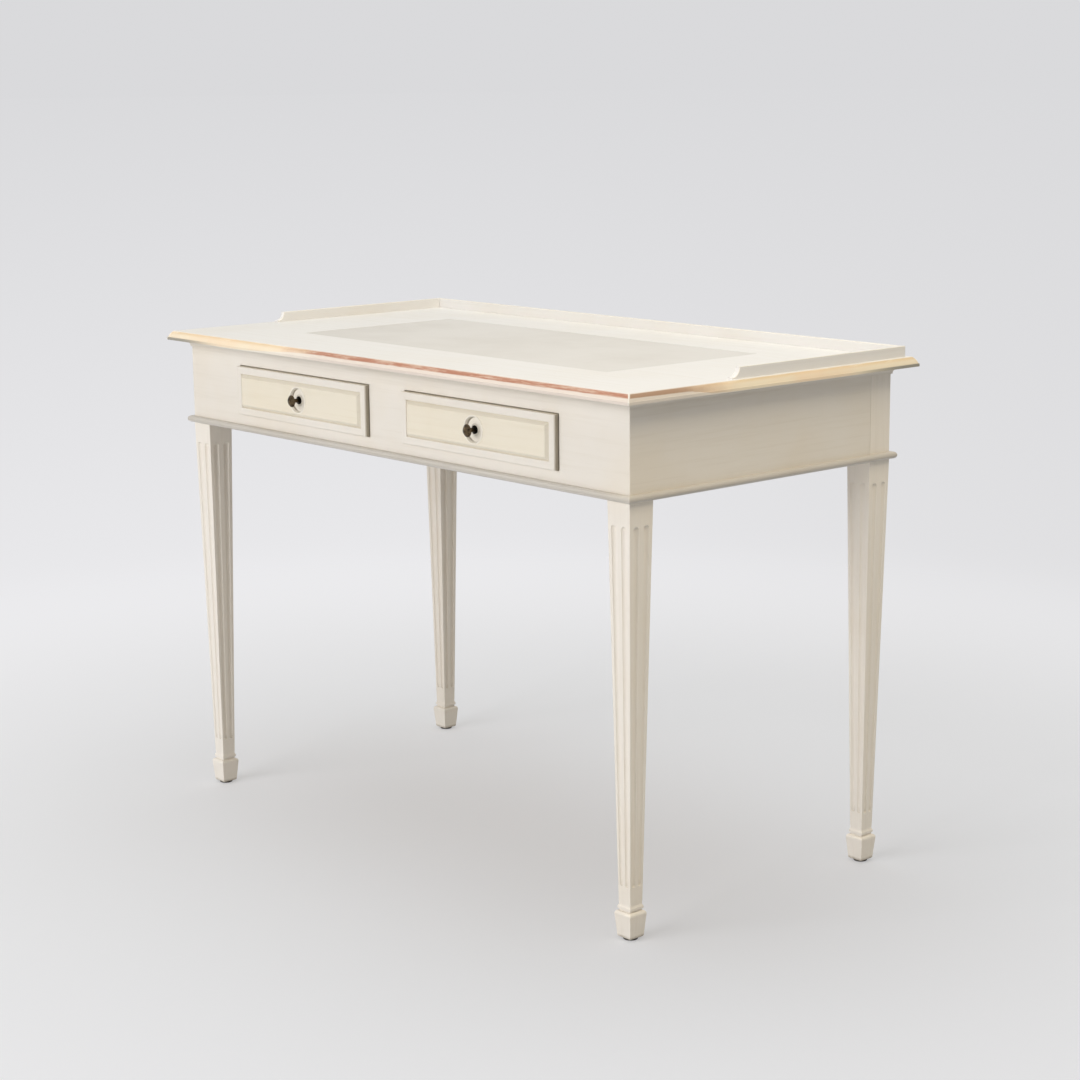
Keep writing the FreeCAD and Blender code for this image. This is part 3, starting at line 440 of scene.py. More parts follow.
def pickOnly(piece):
    pickNothing()
    piece.select_set(True)
    bpy.context.view_layer.objects.active = piece


def startEdit(piece):
    pickOnly(piece)
    bpy.ops.object.mode_set(mode="EDIT")
    bpy.ops.mesh.select_mode(type="VERT")
    bpy.ops.mesh.select_all(action="DESELECT")


def endEdit():
    bpy.ops.object.mode_set(mode="OBJECT")


def pickAll():
    bpy.ops.mesh.select_all(action="SELECT")


def pick(kind, rule):
    # selects edges or faces of the piece in hand by their place or normal
    bpy.ops.mesh.select_all(action="DESELECT")
    bpy.ops.mesh.select_mode(type=kind)
    data = bpy.context.object.data
    mesh = bmesh.from_edit_mesh(data)
    found = 0
    for item in mesh.edges if kind == "EDGE" else mesh.faces:
        if rule(item):
            item.select_set(True)
            found += 1
    mesh.select_flush_mode()
    bmesh.update_edit_mesh(data)
    return found


def near(value, target):
    return abs(value - target) < meshLimits["slack"]


def edgeEnds(edge):
    return [vert.co for vert in edge.verts]


def edgesAt(axis, value):
    # a rule for the edges with both ends at one place along an axis
    return lambda edge: all(near(getattr(end, axis), value) for end in edgeEnds(edge))


def setFinish(piece, *names):
    piece.data.materials.clear()
    for name in names:
        piece.data.materials.append(finishes[name])


def slotOf(finish):
    # the slot of a finish on the piece in hand
    return bpy.context.object.data.materials.find(finishes[finish].name)


def paintFaces(finish, rule):
    pick("FACE", rule)
    bpy.context.object.active_material_index = slotOf(finish)
    bpy.ops.object.material_slot_assign()


def ease(rule, width, steps, finish=None):
    slot = slotOf(finish) if finish else 0
    if pick("EDGE", rule):
        bpy.ops.mesh.bevel(offset=width, segments=steps, affect="EDGES", material=slot, clamp_overlap=True)


def setPlace():
    bpy.ops.object.transform_apply(location=True, rotation=True, scale=True)


def extrudeBy(way):
    bpy.ops.mesh.extrude_region_move(TRANSFORM_OT_translate={"value": way})


def tidyMesh():
    pickAll()
    bpy.ops.mesh.remove_doubles(threshold=meshLimits["merge"])
    bpy.ops.mesh.normals_make_consistent(inside=False)


def addBlock(low, high):
    pickNothing()
    low, high = Vector(low), Vector(high)
    bpy.ops.mesh.primitive_cube_add(size=1, location=(low + high) / 2)
    piece = bpy.context.object
    piece.scale = high - low
    setPlace()
    return piece


def ownCopy(piece):
    copy = piece.copy()
    copy.data = piece.data.copy()
    bpy.context.scene.collection.objects.link(copy)
    return copy


def cadCopy(node):
    # a copy of a CAD node with its triangles merged back into whole faces
    piece = ownCopy(nodes[node])
    for key in list(piece.keys()):
        del piece[key]
    piece.parent = None
    piece.matrix_world = Matrix.Identity(4)
    startEdit(piece)
    pickAll()
    bpy.ops.mesh.remove_doubles(threshold=meshLimits["cadMerge"])
    bpy.ops.mesh.dissolve_limited(angle_limit=meshLimits["flat"])
    endEdit()
    return piece


def joined(pieces):
    pickNothing()
    for piece in pieces:
        piece.select_set(True)
    bpy.context.view_layer.objects.active = pieces[0]
    bpy.ops.object.join()
    return pieces[0]


def turnedCopy(piece, offset, turn, pivot):
    # turned about an upright line and moved, its place in its mesh
    copy = ownCopy(piece)
    pickOnly(copy)
    copy.matrix_world = (Matrix.Translation(offset + pivot) @ Matrix.Rotation(turn, 4, "Z")
                         @ Matrix.Translation(-pivot))
    setPlace()
    return copy


def cutAway(piece, cutter, finish):
    # the cut faces take the cutter's finish
    setFinish(cutter, finish)
    pickOnly(piece)
    carve = piece.modifiers.new("carve", "BOOLEAN")
    carve.operation = "DIFFERENCE"
    carve.solver = "EXACT"
    carve.material_mode = "TRANSFER"
    carve.object = cutter
    bpy.ops.object.modifier_apply(modifier=carve.name)
    bpy.data.objects.remove(cutter)


def pieceName(node):
    first, *others = node.split("_")
    return first + "".join(word.capitalize() for word in others)


def settle(piece, node, body="desk"):
    # smooth shading, then the piece takes its CAD node's place on a body
    piece.name = piece.data.name = pieceName(node)
    pickOnly(piece)
    bpy.ops.object.shade_smooth_by_angle(angle=meshLimits["smooth"])
    weigh = piece.modifiers.new("flatFaces", "WEIGHTED_NORMAL")
    weigh.keep_sharp = True
    bpy.ops.object.modifier_apply(modifier=weigh.name)
    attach(piece, body)
    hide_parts(node)


def bow(start, end, rise, steps):
    # section points on an arc between two points, rising to the left of the way
    start, end = Vector(start), Vector(end)
    chord = end - start
    turn = 4 * math.atan(2 * rise / chord.length)
    radius = chord.length / (2 * math.sin(turn / 2))
    way = chord.normalized()
    left = Vector((-way.y, way.x))
    points = []
    for step in range(1, steps):
        angle = turn * (step / steps - 0.5)
        rest = math.cos(angle) - math.cos(turn / 2)
        points.append((start + end) / 2 + way * radius * math.sin(angle) + left * radius * rest)
    return points


def raiseRings(rings):
    # extrudes the face in hand from ring to ring, each a middle point and a size
    pickAll()
    spot, size = rings[0]
    for nextSpot, nextSize in rings[1:]:
        extrudeBy(nextSpot - spot)
        grow = nextSize / size
        bpy.ops.transform.resize(value=(grow, grow, 1), center_override=nextSpot)
        spot, size = nextSpot, nextSize


def mitredStrip(section, middle, along, inward, up, halfRun):
    # the section is drawn on the first mitre, extruded, and the far end turned over along the run
    pickNothing()
    bpy.ops.mesh.primitive_circle_add(vertices=len(section), radius=halfRun, fill_type="NGON")
    piece = bpy.context.object
    startEdit(piece)
    mesh = bmesh.from_edit_mesh(piece.data)
    for vert, (deep, high) in zip(mesh.verts, section):
        vert.co = middle + inward * deep + up * high - along * (halfRun - deep)
    bmesh.update_edit_mesh(piece.data)
    pickAll()
    bpy.ops.mesh.extrude_region()
    bpy.ops.transform.resize(value=[1 - 2 * abs(part) for part in along], center_override=middle)
    tidyMesh()
    endEdit()
    return piece


axisX, axisY, axisZ = Vector((1, 0, 0)), Vector((0, 1, 0)), Vector((0, 0, 1))
runs = {  # the way of each side of a ring, the way into the desk, and the grain
    "front": (axisX, axisY, "x"),
    "right": (axisY, -axisX, "y"),
    "back": (axisX, -axisY, "x"),
    "left": (axisY, axisX, "y"),
}


def ringStrip(node, side, section):
    # one side of a mitred ring, in its CAD node's box
    along, inward = runs[side][:2]
    low, high, middle = boxOf(node)
    middle.z = low.z
    reach = (high - low) / 2
    middle -= inward * abs(reach.dot(inward))
    return mitredStrip(section, middle, along, inward, axisZ, abs(reach.dot(along)))


def turnedPiece(profile, centre, steps):
    # a profile of (radius, forward) points spun about an axis that points to the front
    pickNothing()
    bpy.ops.mesh.primitive_circle_add(vertices=len(profile), radius=mm, fill_type="NOTHING")
    piece = bpy.context.object
    startEdit(piece)
    mesh = bmesh.from_edit_mesh(piece.data)
    mesh.verts.ensure_lookup_table()
    for vert, (radius, forward) in zip(mesh.verts, profile):
        vert.co = centre + axisX * radius - axisY * forward
    closing = mesh.edges.get((mesh.verts[0], mesh.verts[-1]))
    mesh.edges.remove(closing)
    bmesh.update_edit_mesh(piece.data)
    pickAll()
    bpy.ops.mesh.spin(steps=steps, angle=2 * math.pi, center=centre, axis=axisY)
    tidyMesh()
    endEdit()
    return piece


# Legs: a tapered shaft on a block foot, fluted on four faces

legSizes = {
    "toe": 25 * mm, "toeChamfer": 1.5 * mm,
    "shoulder": 30.6 * mm, "shoulderLow": 35 * mm, "footTop": 40 * mm, "shoulderInset": 3.2 * mm,
    "neck": 21.4 * mm, "collar": 24.8 * mm, "collarLow": 43 * mm, "collarHigh": 46 * mm,
    "ankle": 22.4 * mm, "ankleHeight": 53 * mm, "postFoot": 3 * mm,
    # an arc is its rise and steps, an eased edge its width and steps
    "shoulderArc": (-1.1 * mm, 5), "flareArc": (0.8 * mm, 4),
    "arris": (0.9 * mm, 3), "postArris": (1.4 * mm, 3), "softEdge": (0.5 * mm, 2),
    "fluteLow": 78 * mm, "fluteHigh": 560 * mm, "fluteSides": 40, "fluteTilts": (80, 60, 40, 20, 0),
    # shares of the width of the face, and of the radius
    "fluteSpacing": 0.23, "fluteRadius": 0.135, "fluteOffset": 0.35,
}


def legShaft(low, high, centre, caseLow):
    sizes = legSizes
    halves = [sizes[part] / 2 for part in ("toe", "shoulder", "neck", "collar", "ankle")]
    toe, shoulder, neck, collar, ankle = halves
    post = (high.x - low.x) / 2
    toeTop = low.z + sizes["toeChamfer"]
    shoulderFoot = (shoulder, sizes["shoulderLow"])
    shoulderTop = (shoulder - sizes["shoulderInset"], sizes["footTop"])
    flareFoot = (collar, sizes["collarHigh"])
    flareTop = (ankle, sizes["ankleHeight"])
    stations = [
        (toe - sizes["toeChamfer"], low.z),
        (toe, toeTop),
        shoulderFoot, *bow(shoulderFoot, shoulderTop, *sizes["shoulderArc"]), shoulderTop,
        (neck, sizes["footTop"]),
        (neck, sizes["collarLow"]),
        (collar, sizes["collarLow"]),
        flareFoot, *bow(flareFoot, flareTop, *sizes["flareArc"]), flareTop,
        (post, caseLow),
        (post, high.z),
    ]
    rings = [(Vector((centre.x, centre.y, height)), size) for size, height in stations]
    spot, size = rings[0]
    pickNothing()
    bpy.ops.mesh.primitive_plane_add(size=2 * size, location=spot)
    piece = bpy.context.object
    setPlace()
    startEdit(piece)
    raiseRings(rings)
    pickAll()
    bpy.ops.mesh.bisect(plane_co=(0, 0, caseLow + sizes["postFoot"]), plane_no=(0, 0, 1))
    tidyMesh()

    def isArris(edge):
        first, second = edgeEnds(edge)
        return near(abs(first.x - centre.x), abs(first.y - centre.y)) and not near(first.z, second.z)

    def onPost(edge):
        first, second = edgeEnds(edge)
        return (first.z + second.z) / 2 > caseLow

    def isPostCorner(edge):
        # only the outer corner of the post, where no board meets it
        end = edgeEnds(edge)[0]
        return isArris(edge) and onPost(edge) and end.x > centre.x and end.y < centre.y

    def isStep(edge):
        first, second = edgeEnds(edge)
        heights = (toeTop, sizes["collarLow"], sizes["collarHigh"], sizes["shoulderLow"])
        wide = max(abs(first.x - centre.x), abs(first.y - centre.y)) > neck + mm
        return near(first.z, second.z) and wide and any(near(first.z, height) for height in heights)

    ease(isPostCorner, *sizes["postArris"])
    ease(lambda edge: isArris(edge) and not onPost(edge), *sizes["arris"])
    ease(isStep, *sizes["softEdge"])
    tidyMesh()
    endEdit()
    return piece


def fluteCutter(centre, caseLow, post, sign):
    # one flute as a long tapered plug with round ends, standing on the front face
    sizes = legSizes

    def faceWidth(height):
        taper = (height - sizes["ankleHeight"]) / (caseLow - sizes["ankleHeight"])
        return sizes["ankle"] + (post - sizes["ankle"]) * taper

    def plugRing(height, angle):
        width = faceWidth(height)
        radius = sizes["fluteRadius"] * width
        out = width / 2 + sizes["fluteOffset"] * radius
        spot = Vector((centre.x + sign * sizes["fluteSpacing"] * width, centre.y - out,
                       height + radius * math.sin(angle)))
        return spot, radius * math.cos(angle)

    tilts = [math.radians(degrees) for degrees in sizes["fluteTilts"]]
    rings = [plugRing(sizes["fluteLow"], -tilt) for tilt in tilts]
    rings += [plugRing(sizes["fluteHigh"], tilt) for tilt in reversed(tilts)]
    spot, radius = rings[0]
    pickNothing()
    bpy.ops.mesh.primitive_circle_add(vertices=sizes["fluteSides"], radius=radius, location=spot,
                                      fill_type="NGON")
    piece = bpy.context.object
    setPlace()
    startEdit(piece)
    raiseRings(rings)
    tidyMesh()
    endEdit()
    return piece


def paintPost(leg, caseLow):
    # the front posts were brushed along with the frieze boards beside them
    for way, finish in (("x", "cream_y"), ("y", "cream_x")):

        def isPostFace(face):
            turned = abs(getattr(face.normal, way)) > meshLimits["facing"]
            return turned and face.calc_center_median().z > caseLow

        leg.data.materials.append(finishes[finish])
        startEdit(leg)
        paintFaces(finish, isPostFace)
        endEdit()


def makeLegs():
    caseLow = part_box("bead_front")[0].z
    low, high, centre = boxOf("leg_front_right")
    centre.z = 0
    leg = legShaft(low, high, centre, caseLow)
    setFinish(leg, "leg")
    plugs = []
    for sign in (-1, 1):
        for quarter in range(4):
            plug = fluteCutter(centre, caseLow, high.x - low.x, sign)
            startEdit(plug)
            pickAll()
            bpy.ops.transform.rotate(value=quarter * math.pi / 2, orient_axis="Z", center_override=centre)
            endEdit()
            plugs.append(plug)
    cutAway(leg, joined(plugs), "flute")
    for quarter, node in enumerate(("leg_back_right", "leg_back_left", "leg_front_left"), 1):
        copy = turnedCopy(leg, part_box(node)[0] - low, quarter * math.pi / 2, centre)
        if "front" in node:
            paintPost(copy, caseLow)
        settle(copy, node)
    paintPost(leg, caseLow)
    settle(leg, "leg_front_right")


makeLegs()


# Foot glides

glideSizes = {"radius": 10 * mm, "sides": 40, "rim": (0.8 * mm, 3)}


def makeGlides():
    radius = glideSizes["radius"]
    low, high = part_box("foot_glides")
    thick = high.z - low.z
    pieces = []
    for x in (low.x + radius, high.x - radius):
        for y in (low.y + radius, high.y - radius):
            pickNothing()
            bpy.ops.mesh.primitive_cylinder_add(vertices=glideSizes["sides"], radius=radius, depth=thick,
                                                location=(x, y, low.z + thick / 2))
            glide = bpy.context.object
            setPlace()
            startEdit(glide)
            ease(edgesAt("z", low.z), *glideSizes["rim"])
            endEdit()
            pieces.append(glide)
    glides = joined(pieces)
    setFinish(glides, "glide")
    settle(glides, "foot_glides")


makeGlides()
print("legs and glides made")


# Mouldings round the frieze, and the edge of the top

beadSizes = {"depth": 8 * mm, "height": 10 * mm, "nose": 4.5 * mm, "noseSteps": 12}
coveSizes = {"depth": 9 * mm, "height": 10 * mm, "fillet": 1.5 * mm, "hollowArc": (2.3 * mm, 8)}
edgeSizes = {
    "width": 42 * mm, "height": 14 * mm, "slope": 8 * mm, "quirk": 1.2 * mm, "lip": 4.5 * mm,
    "swellArc": (-0.94 * mm, 6), "ease": (0.5 * mm, 2), "shortest": 10 * mm, "bandFoot": 0.2 * mm,
}


def beadSection():
    depth, height, nose = beadSizes["depth"], beadSizes["height"], beadSizes["nose"]
    top, foot = (nose, height), (nose, 0)
    return [(depth, 0), (depth, height), top, *bow(top, foot, -nose, beadSizes["noseSteps"]), foot]


def coveSection():
    depth, height, fillet = coveSizes["depth"], coveSizes["height"], coveSizes["fillet"]
    top, foot = (0, height - fillet), (depth - fillet, 0)
    return [(depth, 0), (depth, height), (0, height), top, *bow(top, foot, *coveSizes["hollowArc"]), foot]


def edgeSection():
    width, height, lip = edgeSizes["width"], edgeSizes["height"], edgeSizes["lip"]
    top, foot = (edgeSizes["slope"], height), (edgeSizes["quirk"], lip)
    return [(0, 0), (width, 0), (width, height), top, *bow(top, foot, *edgeSizes["swellArc"]), foot, (0, lip)]


def makeTopEdge(side):
    sizes = edgeSizes
    along, inward, grain = runs[side]
    node = "top_edge_" + side
    low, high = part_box(node)
    outer = abs((low if side in ("front", "left") else high).dot(inward))
    piece = ringStrip(node, side, edgeSection())
    setFinish(piece, "top_" + grain, "gilt")
    startEdit(piece)

    def depthOf(place):
        return outer - abs(place.dot(inward))

    def isBand(face):
        middle = face.calc_center_median()
        isEnd = abs(face.normal.dot(along)) > meshLimits["mitre"]
        return depthOf(middle) < sizes["slope"] and middle.z > low.z + sizes["bandFoot"] and not isEnd

    def isSoftEdge(edge):
        first, second = edgeEnds(edge)
        lipEdge = near(depthOf(first), 0) and near(depthOf(second), 0)
        topEdge = near(depthOf(first), sizes["slope"]) and near(depthOf(second), sizes["slope"])
        isLong = abs((first - second).dot(along)) > sizes["shortest"]
        return near(first.z, second.z) and (lipEdge or topEdge) and isLong

    ease(isSoftEdge, *sizes["ease"])
    paintFaces("gilt", isBand)
    endEdit()
    settle(piece, node)


def makeMouldings():
    for side, run in runs.items():
        for kind, finish, section in (("bead_", "bead_", beadSection()), ("cove_", "cream_", coveSection())):
            strip = ringStrip(kind + side, side, section)
            setFinish(strip, finish + run[2])
            settle(strip, kind + side)
        makeTopEdge(side)


makeMouldings()
print("mouldings and top edge made")


# Gallery: swept side rails and a back rail

gallerySizes = {"sweep": 13.5 * mm, "sweepSteps": 8, "hollow": 0.086, "ease": (1.1 * mm, 3)}


def makeGallery():
    sizes = gallerySizes
    for side, along, across in (("left", "y", "x"), ("right", "y", "x"), ("back", "x", "y")):
        node = "gallery_" + side
        low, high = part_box(node)
        rail = addBlock(low, high)
        setFinish(rail, "top_" + along, "worn_" + along)
        startEdit(rail)

        def isFrontTop(edge):
            return edgesAt("y", low.y)(edge) and edgesAt("z", high.z)(edge)

        def isTopArris(edge):
            first, second = edgeEnds(edge)
            isAlong = near(getattr(first, across), getattr(second, across))
            return isAlong and min(first.z, second.z) > low.z + mm

        if side in sides and pick("EDGE", isFrontTop):
            bpy.ops.mesh.bevel(offset=sizes["sweep"], segments=sizes["sweepSteps"], profile=sizes["hollow"],
                               affect="EDGES")
        # the top arrises take the paler paint: a painted highlight, with wear
        ease(isTopArris, *sizes["ease"], "worn_" + along)
        endEdit()
        settle(rail, node)


makeGallery()


# Leather writing surface

leatherSizes = {"edge": (0.7 * mm, 3)}


def makeLeather():
    low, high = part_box("writing_leather")
    sheet = addBlock(low, high)
    setFinish(sheet, "leather")
    startEdit(sheet)
    ease(edgesAt("z", high.z), *leatherSizes["edge"])
    endEdit()
    settle(sheet, "writing_leather")


makeLeather()
print("gallery and leather made")


# Drawers

drawerSizes = {
    "rebateWidth": 12.15 * mm, "rebateDepth": 10.15 * mm,
    "frameWidth": 11 * mm, "frameThick": 2.5 * mm, "frameRound": 1.5 * mm, "frameStep": 1.2 * mm,
    "innerArc": (-0.4 * mm, 6), "outerArc": (-0.3 * mm, 4), "mitreGap": 0.06 * mm,
    "fieldGap": 0.2 * mm, "fieldBevel": 5 * mm, "fieldEase": (0.8 * mm, 2), "topEase": (1.6 * mm, 4),
}
knobSizes = {
    "flange": 6 * mm, "flangeThick": 1.6 * mm, "neck": 3 * mm, "neckHigh": 11.4 * mm,
    "brim": 9 * mm, "brimHigh": 14 * mm, "brimThick": 0.8 * mm, "length": 19 * mm, "soft": 0.4 * mm,
    "footArc": (0.4 * mm, 5), "hollowArc": (1.0 * mm, 7), "brimSteps": 5, "domeArc": (-1.1 * mm, 14),
    "turns": 64,
}
rosetteSizes = {
    "radius": 20.5 * mm, "mouth": 18.7 * mm, "depth": 4.2 * mm, "thick": 0.8 * mm,
    "lip": 0.8 * mm, "lipLow": 0.24 * mm, "lipHigh": 0.56 * mm, "lipInner": 0.16 * mm,
    "wall": 2 * mm, "wallFoot": 0.3 * mm, "floorEdge": 0.4 * mm,
    "boss": 7 * mm, "bossSlope": 1 * mm, "bossHigh": 1 * mm, "bossSoft": 0.2 * mm,
    "lipArc": (-0.15 * mm, 4), "mouthArc": (-0.1 * mm, 3), "floorArc": (0.1 * mm, 3), "turns": 96,
    "seatGap": 0.2 * mm, "cutAhead": 5 * mm,
}


def frameSection():
    sizes = drawerSizes
    width, thick, step = sizes["frameWidth"], sizes["frameThick"], sizes["frameStep"]
    inner, outer = (width, step), (width - sizes["frameRound"], thick)
    shoulder, edge = (step, thick), (0, thick - step)
    return [(0, 0), (width, 0), inner, *bow(inner, outer, *sizes["innerArc"]), outer,
            shoulder, *bow(shoulder, edge, *sizes["outerArc"]), edge]


def seatPlate(board, side):
    # a round pocket in the field for the sunk part of the plate
    sizes = rosetteSizes
    high, middle = boxOf(side + "_rosette")[1:]
    deep = high.y + sizes["seatGap"]
    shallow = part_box(side + "_drawer_front")[0].y - sizes["cutAhead"]
    place = (middle.x, (deep + shallow) / 2, middle.z)
    pickNothing()
    bpy.ops.mesh.primitive_cylinder_add(vertices=sizes["turns"], radius=sizes["mouth"] + sizes["seatGap"],
                                        depth=deep - shallow, location=place, rotation=(math.pi / 2, 0, 0))
    cutter = bpy.context.object
    setPlace()
    cutAway(board, cutter, "pine_x")


def makeDrawerFront(side):
    sizes = drawerSizes
    facing, square = meshLimits["facing"], meshLimits["square"]
    node = side + "_drawer_front"
    low, high, middle = boxOf(node)
    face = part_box(side + "_drawer_frame")[1].y
    board = addBlock((low.x, face, low.z), (high.x, high.y - sizes["rebateDepth"], high.z))
    setFinish(board, "field", "fieldWorn", "pine_x", "fieldBevel", "frontEnd")
    startEdit(board)
    # the field, raised inside the frame
    margin = sizes["frameWidth"] + sizes["fieldGap"]
    pick("FACE", lambda item: item.normal.y < -facing)
    bpy.ops.mesh.inset(thickness=margin)
    extrudeBy((0, low.y - face, 0))
    width, height = high.x - low.x - 2 * margin, high.z - low.z - 2 * margin
    shrink = (1 - 2 * sizes["fieldBevel"] / width, 1, 1 - 2 * sizes["fieldBevel"] / height)
    bpy.ops.transform.resize(value=shrink, center_override=middle)

    def isBevel(item):
        return item.calc_center_median().y < face + mm and item.normal.y > -square

    # the bevels take the darker paint: painted shade round the field
    paintFaces("fieldBevel", isBevel)
    ease(edgesAt("y", low.y), *sizes["fieldEase"], "fieldWorn")
    # dark end grain at both ends, made darker as painted shade along the shaded ends of the drawer
    paintFaces("frontEnd", lambda item: abs(item.normal.x) > square)
    endEdit()
    seatPlate(board, side)
    startEdit(board)
    # the back steps in at both ends, where the sides are let in
    for x in (low.x + sizes["rebateWidth"], high.x - sizes["rebateWidth"]):
        pickAll()
        bpy.ops.mesh.bisect(plane_co=(x, 0, 0), plane_no=(1, 0, 0))

    def isBackMiddle(item):
        return item.normal.y > facing and abs(item.calc_center_median().x - middle.x) < width / 4

    pick("FACE", isBackMiddle)
    extrudeBy((0, sizes["rebateDepth"], 0))
    paintFaces("pine_x", lambda item: item.normal.y > facing)
    endEdit()
    settle(board, node, side + "_drawer")


def makeDrawerFrame(side):
    node = side + "_drawer_frame"
    low, high, middle = boxOf(node)
    middle.y = high.y
    half = (high - low) / 2
    strips = []
    for along, inward in ((axisX, axisZ), (axisZ, -axisX), (axisX, -axisZ), (axisZ, axisX)):
        start = middle - inward * abs(half.dot(inward))
        run = abs(half.dot(along)) - drawerSizes["mitreGap"]
        strip = mitredStrip(frameSection(), start, along, inward, -axisY, run)
        setFinish(strip, "cream_x" if along == axisX else "cream_z")
        strips.append(strip)
    settle(joined(strips), node, side + "_drawer")


def makeDrawerSides(side):
    for hand in sides:
        node = f"{side}_drawer_{hand}_side"
        atTop = edgesAt("z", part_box(node)[1].z)
        board = cadCopy(node)
        setFinish(board, "pine_y")
        startEdit(board)

        def isLongTop(edge):
            first, second = edgeEnds(edge)
            return atTop(edge) and near(first.x, second.x)

        ease(isLongTop, *drawerSizes["topEase"])
        endEdit()
        settle(board, node, side + "_drawer")


def knobProfile():
    sizes = knobSizes
    soft, flange, flangeThick = sizes["soft"], sizes["flange"], sizes["flangeThick"]
    flangeTop = (flange - soft, flangeThick)
    neckLow = (sizes["neck"], 2 * flangeThick)
    neckHigh = (sizes["neck"], sizes["neckHigh"])
    under = (sizes["brim"] - soft, sizes["brimHigh"] - sizes["brimThick"] / 2)
    over = (sizes["brim"] - soft, sizes["brimHigh"] + sizes["brimThick"] / 2)
    tip = (0.0, sizes["length"])
    return [
        (0.0, 0.0), (flange - soft, 0.0), (flange, soft), (flange, flangeThick - soft),
        flangeTop, *bow(flangeTop, neckLow, *sizes["footArc"]), neckLow,
        neckHigh, *bow(neckHigh, under, *sizes["hollowArc"]), under,
        *bow(under, over, -soft, sizes["brimSteps"]), over,
        *bow(over, tip, *sizes["domeArc"]), tip,
    ]


def rosetteProfile():
    # measured from the back of the plate
    sizes = rosetteSizes
    radius, mouth, thick, boss = sizes["radius"], sizes["mouth"], sizes["thick"], sizes["boss"]
    seat = sizes["depth"] + thick
    lipTop = seat + sizes["lip"]
    outer = (radius, seat + sizes["lipLow"])
    brow = (radius - sizes["lipHigh"], lipTop)
    mouthTop = (mouth + sizes["lipLow"], lipTop)
    wallTop = (mouth - sizes["lipInner"], seat + sizes["lipHigh"])
    wallFoot = (mouth - sizes["wall"] + sizes["wallFoot"], thick + sizes["wallFoot"])
    floor = (mouth - sizes["wall"] - sizes["floorEdge"], thick)
    bossTop = thick + sizes["bossHigh"]
    return [
        (0.0, 0.0), (mouth, 0.0), (mouth, seat), (radius, seat),
        outer, *bow(outer, brow, *sizes["lipArc"]), brow,
        mouthTop, *bow(mouthTop, wallTop, *sizes["mouthArc"]), wallTop,
        wallFoot, *bow(wallFoot, floor, *sizes["floorArc"]), floor,
        (boss + sizes["bossSlope"], thick), (boss, bossTop - sizes["bossSoft"]),
        (boss - sizes["bossSoft"], bossTop), (0.0, bossTop),
    ]


def makeKnob(side):
    for node, profile, turns, finish, slot in (
        (side + "_knob", knobProfile(), knobSizes["turns"], "brass", "aged_brass"),
        (side + "_rosette", rosetteProfile(), rosetteSizes["turns"], "plate", "painted_plate"),
    ):
        high, centre = boxOf(node)[1:]
        centre.y = high.y
        piece = turnedPiece(profile, centre, turns)
        setFinish(piece, finish)
        settle(piece, node, side + "_drawer")


for side in sides:
    makeDrawerFront(side)
    makeDrawerFrame(side)
    makeDrawerSides(side)
    makeKnob(side)
print("drawers made")


# Side boards of the frieze, eased where they meet the back posts

apronSizes = {"ease": (0.7 * mm, 2)}


def makeSideAprons():
    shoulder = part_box("leg_back_right")[0].y
    for side in sides:
        node = "apron_" + side
        low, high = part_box(node)
        onFace = edgesAt("x", high.x if side == "right" else low.x)
        board = cadCopy(node)
        setFinish(board, "cream_y")
        startEdit(board)
        ease(lambda edge: onFace(edge) and all(abs(end.y - shoulder) < mm for end in edgeEnds(edge)),
             *apronSizes["ease"])
        endEdit()
        settle(board, node)


makeSideAprons()
print("side boards made")


# CAD nodes that keep their shape take a finish

keptFinishes = {
    "cream_x": ("front_rail_top", "front_rail_bottom", "front_stile_left", "front_stile_centre",
                "front_stile_right", "apron_back"),
    "top_x": ("top_panel",),
    "pine_y": ("runner_left_inner", "runner_left_outer", "runner_right_inner", "runner_right_outer",
               "kicker_left", "kicker_right", "drawer_stops"),
    "pine_x": ("corner_braces", "left_drawer_back", "right_drawer_back", "left_drawer_bottom",
               "right_drawer_bottom"),
    "pine_z": ("gallery_dowels",),
    "steel": ("brace_screws", "left_knob_bolt", "right_knob_bolt"),
}
for finish, names in keptFinishes.items():
    for name in names:
        setFinish(nodes[name], finish)
print("kept nodes finished")


# Floor, light and camera

floorLooks = {
    "tone": (0.880, 0.885, 0.910),
    "close": (0.930, 0.925, 0.936),
    "near": (0.815, 0.812, 0.830),
    "far": (0.700, 0.700, 0.715),
    "shade": (0.925, 0.925, 0.922),
    "fade": (0.55, 2.0), "least": 0.38, "closeReach": (0.5, 2.4), "sideReach": (-0.10, 0.26),
    "viewDistance": 3.45, "nearest": 5.5,
    "size": 240.0,
}
lampLooks = {
    # a front lamp mirrored in the top would bleach it, seen from behind
    "key": {"place": (-0.4, -5.5, 1.6), "aim": (0.0, 0.0, 0.4), "size": 4.0,
            "power": 208.0, "tone": (0.97, 0.975, 1.0), "glossy": False},
    "top": {"place": (-0.5, 0.5, 5.0), "aim": (0.0, 0.0, 0.0), "size": 4.6,
            "power": 94.0, "tone": (0.88, 0.95, 1.0)},
    "fill": {"place": (2.3, -0.1, 3.6), "aim": (0.3, 0.0, 0.5), "size": 2.0,
             "power": 69.0, "tone": (1.0, 0.91, 0.74)},
    # only for the glint on brass and gilt
    "glint": {"place": (-2.6, -2.9, 1.9), "aim": (0.0, -0.3, 0.66), "size": 1.0,
              "power": 20.0, "tone": (1.0, 0.97, 0.92), "diffuse": False},
}
worldLooks = {"tone": (1.0, 0.925, 0.79), "strength": 0.285}
cameraView = {"place": (2.6100, -2.2635, 1.1348), "azimuth": 48.63, "pitch": 11.35, "roll": -0.486,
              "lens": 77.31, "sensor": 36.0, "reach": 300.0}


